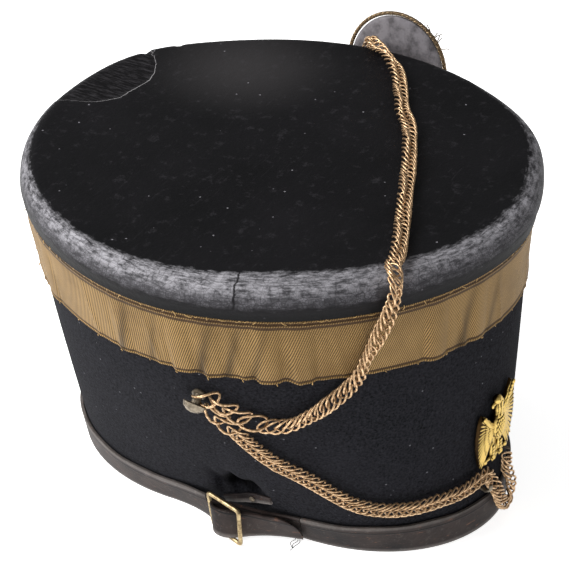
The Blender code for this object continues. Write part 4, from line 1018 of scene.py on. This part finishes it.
def link_mesh(name):
    """One curb link: an oval of wire bent to a saddle so that its neighbours pass through."""
    around = np.linspace(0, 2 * np.pi, 16, endpoint=False)
    slant = math.radians(LINK_SLANT)
    x = LINK_HALF_LENGTH * np.cos(around)
    y = LINK_HALF_WIDTH * np.sin(around)
    path = np.stack([math.cos(slant) * x - math.sin(slant) * y,
                     math.sin(slant) * x + math.cos(slant) * y,
                     LINK_SADDLE * np.sin(2 * around + math.radians(LINK_PHASE))], axis=1)
    points, faces = sweep(path, LINK_WIRE, 5, closed=True)
    mesh = bpy.data.meshes.new(name)
    mesh.from_pydata([tuple(point) for point in points], [], faces)
    mesh.shade_smooth()
    return mesh


# Drawn bronze wire: warm and bright where hands have kept it clean, clouded with brown.
bronze = metal("bronze_chain_wire", "#84684a", "#ecc9a0", grain=1.429, rough=0.36)


def lay_chain(name, route, node_name, open_links, seed, twist=0.0):
    """Links set along the route: single and open near the stud, then in close pairs."""
    found = [chain_place(row) for row in route]
    line = smooth_curve([row[0] for row in found])
    away = smooth_curve([row[1] for row in found])
    roll = smooth_curve([[row[2], 0.0, 0.0] for row in found])[:, 0]
    travel = np.concatenate([[0.0], np.cumsum(np.linalg.norm(np.diff(line, axis=0), axis=1))])
    marks = []
    mark = 0.0032
    sizes = []
    for _ in range(open_links):
        marks.append(mark)
        sizes.append(OPEN_GROWTH)
        mark += OPEN_SPACING
    mark -= 0.0010
    last = travel[-1] - CHAIN_END
    while mark < last:
        marks.append(mark)
        if mark + PAIR_SPLIT < last:
            marks.append(mark + PAIR_SPLIT)
        mark += LINK_PAIR
    places, turned = [], []
    chance = random.Random(seed)
    for mark in marks:
        point = np.array([np.interp(mark, travel, line[:, axis]) for axis in range(3)])
        before = np.array([np.interp(mark - 0.002, travel, line[:, axis]) for axis in range(3)])
        after = np.array([np.interp(mark + 0.002, travel, line[:, axis]) for axis in range(3)])
        normal = np.array([np.interp(mark, travel, away[:, axis]) for axis in range(3)])
        run = Vector(after - before).normalized()
        up = Vector(normal)
        up = (up - run * up.dot(run)).normalized()
        turned_by = (np.interp(mark, travel, roll) + chance.uniform(-5, 5)
                     + twist * math.sin(mark * 2 * math.pi / TWIST_EVERY))
        up.rotate(Matrix.Rotation(math.radians(turned_by), 3, run))
        side = up.cross(run)
        axes = Matrix((run, side, up)).transposed()
        places.append(point)
        turned.append(tuple(axes.to_euler()))
    sizes += [1.0] * (len(places) - len(sizes))
    chain = set_out(name, link_mesh(name + "_link"), places, turned, bronze, sizes, 0.05, seed)
    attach(chain, "root")
    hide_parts(node_name)


lay_chain("crown_chain", OVER_ROUTE, "chain_over", open_links=4, seed=4, twist=26.0)
lay_chain("front_chain", FRONT_ROUTE, "chain_front", open_links=2, seed=9)

# Badge: an eagle with raised wings, cast in brass and gilt, its feathers cut in low relief.
# The gilding is bright on the raised parts, and the hollows between feathers are tarnished.
BADGE_HEIGHT = 0.040
BADGE_SPAN = 0.0275
BADGE_TURN = -6.6
BADGE_FOOT = 0.0372
BADGE_TILT = -4.0
BADGE_PLATE = 0.0014
# One wing's outline: shares of half the span, and of the height.
WING = [(0.12, 0.70), (0.38, 0.74), (0.60, 0.86), (0.76, 0.97), (0.86, 0.92), (0.94, 0.78),
        (1.00, 0.60), (0.98, 0.42), (0.90, 0.27), (0.84, 0.13), (0.72, 0.05), (0.58, 0.14),
        (0.44, 0.24), (0.30, 0.32), (0.12, 0.36)]
# Three layers of feathers: where they start and end along the wing, half width and lift.
FEATHERS = [(0.42, 1.02, 0.00062, 0.0), (0.20, 0.66, 0.00070, 0.0004),
            (0.02, 0.42, 0.00080, 0.0008)]
relief_points, relief_faces, relief_raised = [], [], []


def relief_add(points, faces, raised):
    """Add a body to the badge, with how raised each of its points is."""
    start = sum(len(group) for group in relief_points)
    relief_points.append(np.asarray(points, float))
    relief_raised.append(np.asarray(raised, float))
    relief_faces.extend(tuple(corner + start for corner in face) for face in faces)


def mound(across, up, out, half_across, half_up, half_out, lean=0.0, sides=10, rows=6):
    """A rounded boss, lengths in metres, its long side leaning from upright by degrees."""
    slopes = np.radians(np.linspace(-90, 90, rows + 2)[1:-1])
    round_turns = np.linspace(0, 2 * np.pi, sides, endpoint=False)
    ways = [np.array([np.cos(slope) * np.cos(turn), np.cos(slope) * np.sin(turn), np.sin(slope)])
            for slope in slopes for turn in round_turns]
    ways = np.array(ways + [[0, 0, -1.0], [0, 0, 1.0]])
    flat = ways * [half_across, half_out, half_up]
    turn = math.radians(lean)
    x = flat[:, 0] * math.cos(turn) + flat[:, 2] * math.sin(turn)
    z = -flat[:, 0] * math.sin(turn) + flat[:, 2] * math.cos(turn)
    points = np.stack([across + x, -out + flat[:, 1], up + z], axis=1)
    faces = ring_faces(rows, sides)
    last = rows * sides
    faces += [(last, (step + 1) % sides, step) for step in range(sides)]
    faces += [(last + 1, last - sides + step, last - sides + (step + 1) % sides)
              for step in range(sides)]
    relief_add(points, faces, np.clip(-ways[:, 1], 0, 1))


# Two wings: a bevelled plate, three layers of feathers and a row of knuckles along the top.
chance = random.Random(12)
half, tall = BADGE_SPAN / 2, BADGE_HEIGHT
for side, rise in ((1, 1.0), (-1, 0.82)):
    rim = np.array([(side * out * half, up * rise * tall) for out, up in WING])
    middle = rim.mean(axis=0)
    face = 1.15 * BADGE_PLATE
    layers = [(1.0, 0.0), (1.0, -face * 0.7), (0.93, -face)]
    points = np.concatenate([np.stack([middle[0] + (rim[:, 0] - middle[0]) * share,
                                       np.full(len(rim), depth),
                                       middle[1] + (rim[:, 1] - middle[1]) * share], axis=1)
                             for share, depth in layers])
    count = len(rim)
    plate = ring_faces(3, count)
    if side > 0:
        plate = [quad[::-1] for quad in plate]
    cap = tuple(range(2 * count, 3 * count))
    back = tuple(range(count))
    plate += [cap[::-1], back] if side > 0 else [cap, back[::-1]]
    relief_add(points, plate, np.zeros(len(points)))
    root = np.array([side * 0.20 * half, 0.66 * rise * tall])
    edge_line = even_path([(x, 0.0, z) for x, z in rim[2:14]], 21)[:, [0, 2]]
    for layer, (inner, outer_end, width, lift) in enumerate(FEATHERS):
        for number, tip in enumerate(edge_line[::1 if layer < 2 else 2]):
            start = root + (tip - root) * inner
            end = root + (tip - root) * (outer_end + chance.uniform(-0.03, 0.03))
            length = np.linalg.norm(end - start) / 2
            lean = math.degrees(math.atan2(end[0] - start[0], end[1] - start[1]))
            centre = (start + end) / 2
            mound(centre[0], centre[1], face + lift, width * chance.uniform(0.85, 1.2), length,
                  0.00052, lean, 8, 6)
    arm = even_path([(side * across * half, 0, up * rise * tall) for across, up in
                     ((0.16, 0.64), (0.40, 0.72), (0.62, 0.84), (0.78, 0.94))], 9)[:, [0, 2]]
    for x, z in arm:
        mound(x, z, face + 0.0008, 0.0012, 0.0012, 0.0008)
# Breast, neck, head, beak, its tip, brow, two legs, tail and perch: each across, up and out, then
# half its width, depth and height, as shares of half the span, the height and the span.
BODY = [(0.00, 0.52, 0.075, 0.150, 0.105, 0.172), (-0.05, 0.76, 0.080, 0.085, 0.080, 0.110),
        (-0.10, 0.90, 0.085, 0.090, 0.075, 0.058), (-0.27, 0.87, 0.080, 0.070, 0.035, 0.022),
        (-0.35, 0.85, 0.080, 0.030, 0.030, 0.026), (-0.13, 0.915, 0.150, 0.018, 0.014, 0.012),
        (0.20, 0.20, 0.055, 0.060, 0.055, 0.110), (-0.20, 0.20, 0.055, 0.060, 0.055, 0.110),
        (0.00, 0.22, 0.030, 0.100, 0.026, 0.180), (0.00, 0.10, 0.060, 0.290, 0.040, 0.028)]
for across, up, out, wide, deep, high in BODY:
    mound(across * half, up * tall, out * BADGE_SPAN, wide * BADGE_SPAN, high * tall,
          deep * BADGE_SPAN, sides=20, rows=13)
# Breast feathers, neck feathers, thighs with their claws, tail and the perch's ends.
for row in range(9):
    share = -0.8 + row * 0.2
    reach = math.sqrt(1 - share * share)
    for step in range(-2, 3):
        swing_out = (step + 0.5 * (row % 2)) * 0.36
        across = math.sin(swing_out) * reach
        mound(across * 0.150 * BADGE_SPAN, (0.52 + share * 0.172) * tall,
              0.075 * BADGE_SPAN + math.cos(swing_out) * reach * 0.105 * BADGE_SPAN,
              0.00075, 0.00115, 0.00050, chance.uniform(-12, 12), 8, 5)
for row in range(6):
    for step in (-1, 0, 1):
        mound((-0.05 * half) + step * 0.0013, (0.70 + 0.035 * row) * tall,
              0.158 * BADGE_SPAN - abs(step) * 0.0006, 0.0006, 0.0011, 0.0004, 0, 8, 5)
for side in (-1, 1):
    for row in range(4):
        mound(side * 0.20 * half, (0.12 + 0.045 * row) * tall, 0.105 * BADGE_SPAN, 0.0011, 0.0010,
              0.0005, side * 10, 8, 5)
    for claw in (-1, 0, 1):
        mound(side * 0.20 * half + claw * 0.0011, 0.085 * tall, 0.100 * BADGE_SPAN, 0.00045, 0.0013,
              0.0006, claw * 20, 8, 5)
for step in range(-2, 3):
    mound(step * 0.0011, 0.13 * tall, 0.058 * BADGE_SPAN, 0.00055, 0.0046, 0.0005, step * 6, 8, 6)
for end in (-1, 1):
    mound(end * 0.56 * half, 0.10 * tall, 0.060 * BADGE_SPAN, 0.0012, 0.0015, 0.0012)

# The whole badge is tilted, cut flat at the back and set square to the wall.
points = np.concatenate(relief_points)
tilt = np.array(Matrix.Rotation(math.radians(BADGE_TILT), 3, "Y"))
points = points @ tilt.T
points[:, 1] = np.minimum(points[:, 1], 0.0)
along = (outline(BADGE_TURN + 0.5, BADGE_FOOT) - outline(BADGE_TURN - 0.5, BADGE_FOOT))
rise = outline(BADGE_TURN, BADGE_FOOT + 0.001) - outline(BADGE_TURN, BADGE_FOOT - 0.001)
out_way = np.cross(along, rise)
out_way /= np.linalg.norm(out_way)
up_way = np.array([0.0, 0.0, 1.0]) - out_way * out_way[2]
up_way /= np.linalg.norm(up_way)
badge_axes = np.stack([np.cross(up_way, out_way), -out_way, up_way], axis=1)
points = outline(BADGE_TURN, BADGE_FOOT) + out_way * 1.5 * GAP + points @ badge_axes.T

# Cast brass, fire-gilt: deep yellow and bright on the raised feathers, brown in the hollows.
gilt, tree, shader = new_finish("gilt_casting")
place = node(tree, "TexCoord").outputs["Object"]
stain = node(tree, "TexNoise", {"Vector": place, "Scale": spaced(2.381), "Detail": 4.0,
                                "Roughness": 0.7})
raised = node(tree, "Attribute", attribute_name="raised").outputs["Fac"]
lit = node(tree, "Math", {0: stain, 1: 0.9, 2: raised}, operation="MULTIPLY_ADD")
tone = node(tree, "ValToRGB", {"Fac": lit}, ramp=[(0.55, "#33230c"), (1.0, "#dcbc6c")])
feed(shader, {"Base Color": tone, "Metallic": 0.9, "Roughness": 0.32})
add_piece("eagle_relief", points, relief_faces, gilt, slot="gilt", instead=["eagle_badge"],
          marks={"raised": np.concatenate(relief_raised)})

# Cockade: an oval of stiff leather on a plain pin, edged with twisted bullion cord.
# Its leather has faded to grey, and the cord has burst near the top.
COCKADE_WIDTH = 0.0514
COCKADE_HEIGHT = 0.0578
COCKADE_MIDDLE = np.array([0.0, 0.0048 + HAT_SHIFT[1], 0.1415])
COCKADE_EDGE = 0.0020
COCKADE_ROPE = 0.00105
COCKADE_CLEARANCE = 0.0104
# The cockade's plane stands this far off the rim's left side.
plane = rim_point(np.array([90.0]), 0.0, 0.0)[0][0] + COCKADE_CLEARANCE


def oval(x, wide, high, count):
    """An upright ring of points round the cockade's middle."""
    around = np.linspace(0, 2 * np.pi, count, endpoint=False)
    return np.stack([np.full(count, x), COCKADE_MIDDLE[1] + wide * np.cos(around),
                     COCKADE_MIDDLE[2] + high * np.sin(around)], axis=1)


half_wide = COCKADE_WIDTH / 2 - 2 * COCKADE_ROPE - GAP
half_high = COCKADE_HEIGHT / 2 - 2 * COCKADE_ROPE - GAP
# Rings from the middle of the back to the middle of the domed face: share of the oval's size,
# and how far out as a share of the edge's thickness.
RING_POINTS = 96
profile = [(0.02, -0.70), (0.25, -0.64), (0.45, -0.55), (0.65, -0.40), (0.85, -0.20), (0.93, -0.06),
           (0.97, 0.02), (1.0, 0.25), (1.0, 0.75), (0.96, 1.05), (0.85, 1.35), (0.65, 1.65),
           (0.45, 1.9), (0.25, 2.02), (0.02, 2.1)]
rows = [oval(plane + COCKADE_EDGE * depth, half_wide * share, half_high * share, RING_POINTS)
        for share, depth in profile]
faces = ring_faces(len(rows), RING_POINTS)
faces.append(tuple(range(RING_POINTS))[::-1])
faces.append(tuple(range((len(rows) - 1) * RING_POINTS, len(rows) * RING_POINTS)))
# Blacked leather faded to a mottled grey, matt, in clouds of about 9 mm.
faded, tree, shader = new_finish("faded_cockade_leather")
place = node(tree, "TexCoord").outputs["Object"]
mottle = node(tree, "TexNoise", {"Vector": place, "Scale": spaced(9.091), "Detail": 6.0,
                                 "Roughness": 0.7})
greyed = node(tree, "ValToRGB", {"Fac": mottle}, ramp=[(0.36, "#4c494b"), (0.58, "#858185")])
feed(shader, {"Base Color": greyed})
lift = node(tree, "Bump", {"Height": mottle, "Strength": 0.4, "Distance": 0.0004})
feed(shader, {"Normal": lift, "Roughness": 0.6, "Specular IOR Level": 0.2})
add_piece("leather_cockade", np.concatenate(rows), faces, faded, slot="black_leather",
          instead=["cockade"])

# Bullion: fine wire coiled over a core, gone brown with only a dull glint, three strands
# twisted together round the edge, and seven short ends where the cord has burst.
TWISTS = 46
STRAND = 0.52 * COCKADE_ROPE
STRAND_REACH = 0.48 * COCKADE_ROPE
BURST_WIRE = 0.00024
BURST_STEP = 0.0013
BURST_CEILING = 0.1728
bullion = metal("tarnished_bullion", "#3f3226", "#a08a6c", grain=0.6667, rough=0.45)
middle_x = plane + COCKADE_EDGE / 2
rope_wide, rope_high = COCKADE_WIDTH / 2 - COCKADE_ROPE, COCKADE_HEIGHT / 2 - COCKADE_ROPE
around = np.linspace(0, 2 * np.pi, 420, endpoint=False)
strands = []
for strand in range(3):
    wind = TWISTS * around + strand * 2 * np.pi / 3
    reach = STRAND_REACH * np.cos(wind)
    path = np.stack([middle_x + STRAND_REACH * np.sin(wind),
                     COCKADE_MIDDLE[1] + (rope_wide + reach) * np.cos(around),
                     COCKADE_MIDDLE[2] + (rope_high + reach) * np.sin(around)], axis=1)
    strands.append(sweep(path, STRAND, 6, closed=True))
points, faces = joined(strands)
add_piece("twisted_bullion", points, faces, bullion, slot="bullion", instead=["cockade_rope"])
chance = np.random.RandomState(6)
burst_ends = []
for strand in range(7):
    angle = math.radians(128 + 3.2 * strand)
    line = [np.array([middle_x, COCKADE_MIDDLE[1] + rope_wide * math.cos(angle),
                      COCKADE_MIDDLE[2] + rope_high * math.sin(angle)])]
    way = np.array([chance.uniform(-0.3, 0.3), math.cos(angle) * 0.6, math.sin(angle) * 0.7])
    for _ in range(4):
        way = way + chance.uniform(-0.8, 0.8, 3) * 0.7
        line.append(line[-1] + way / np.linalg.norm(way) * BURST_STEP)
    burst_ends.append(sweep(smooth_curve(line, 4), BURST_WIRE, 5))
points, faces = joined(burst_ends)
points[:, 2] = np.minimum(points[:, 2], BURST_CEILING)
add_piece("burst_bullion", points, faces, bullion, slot="bullion")
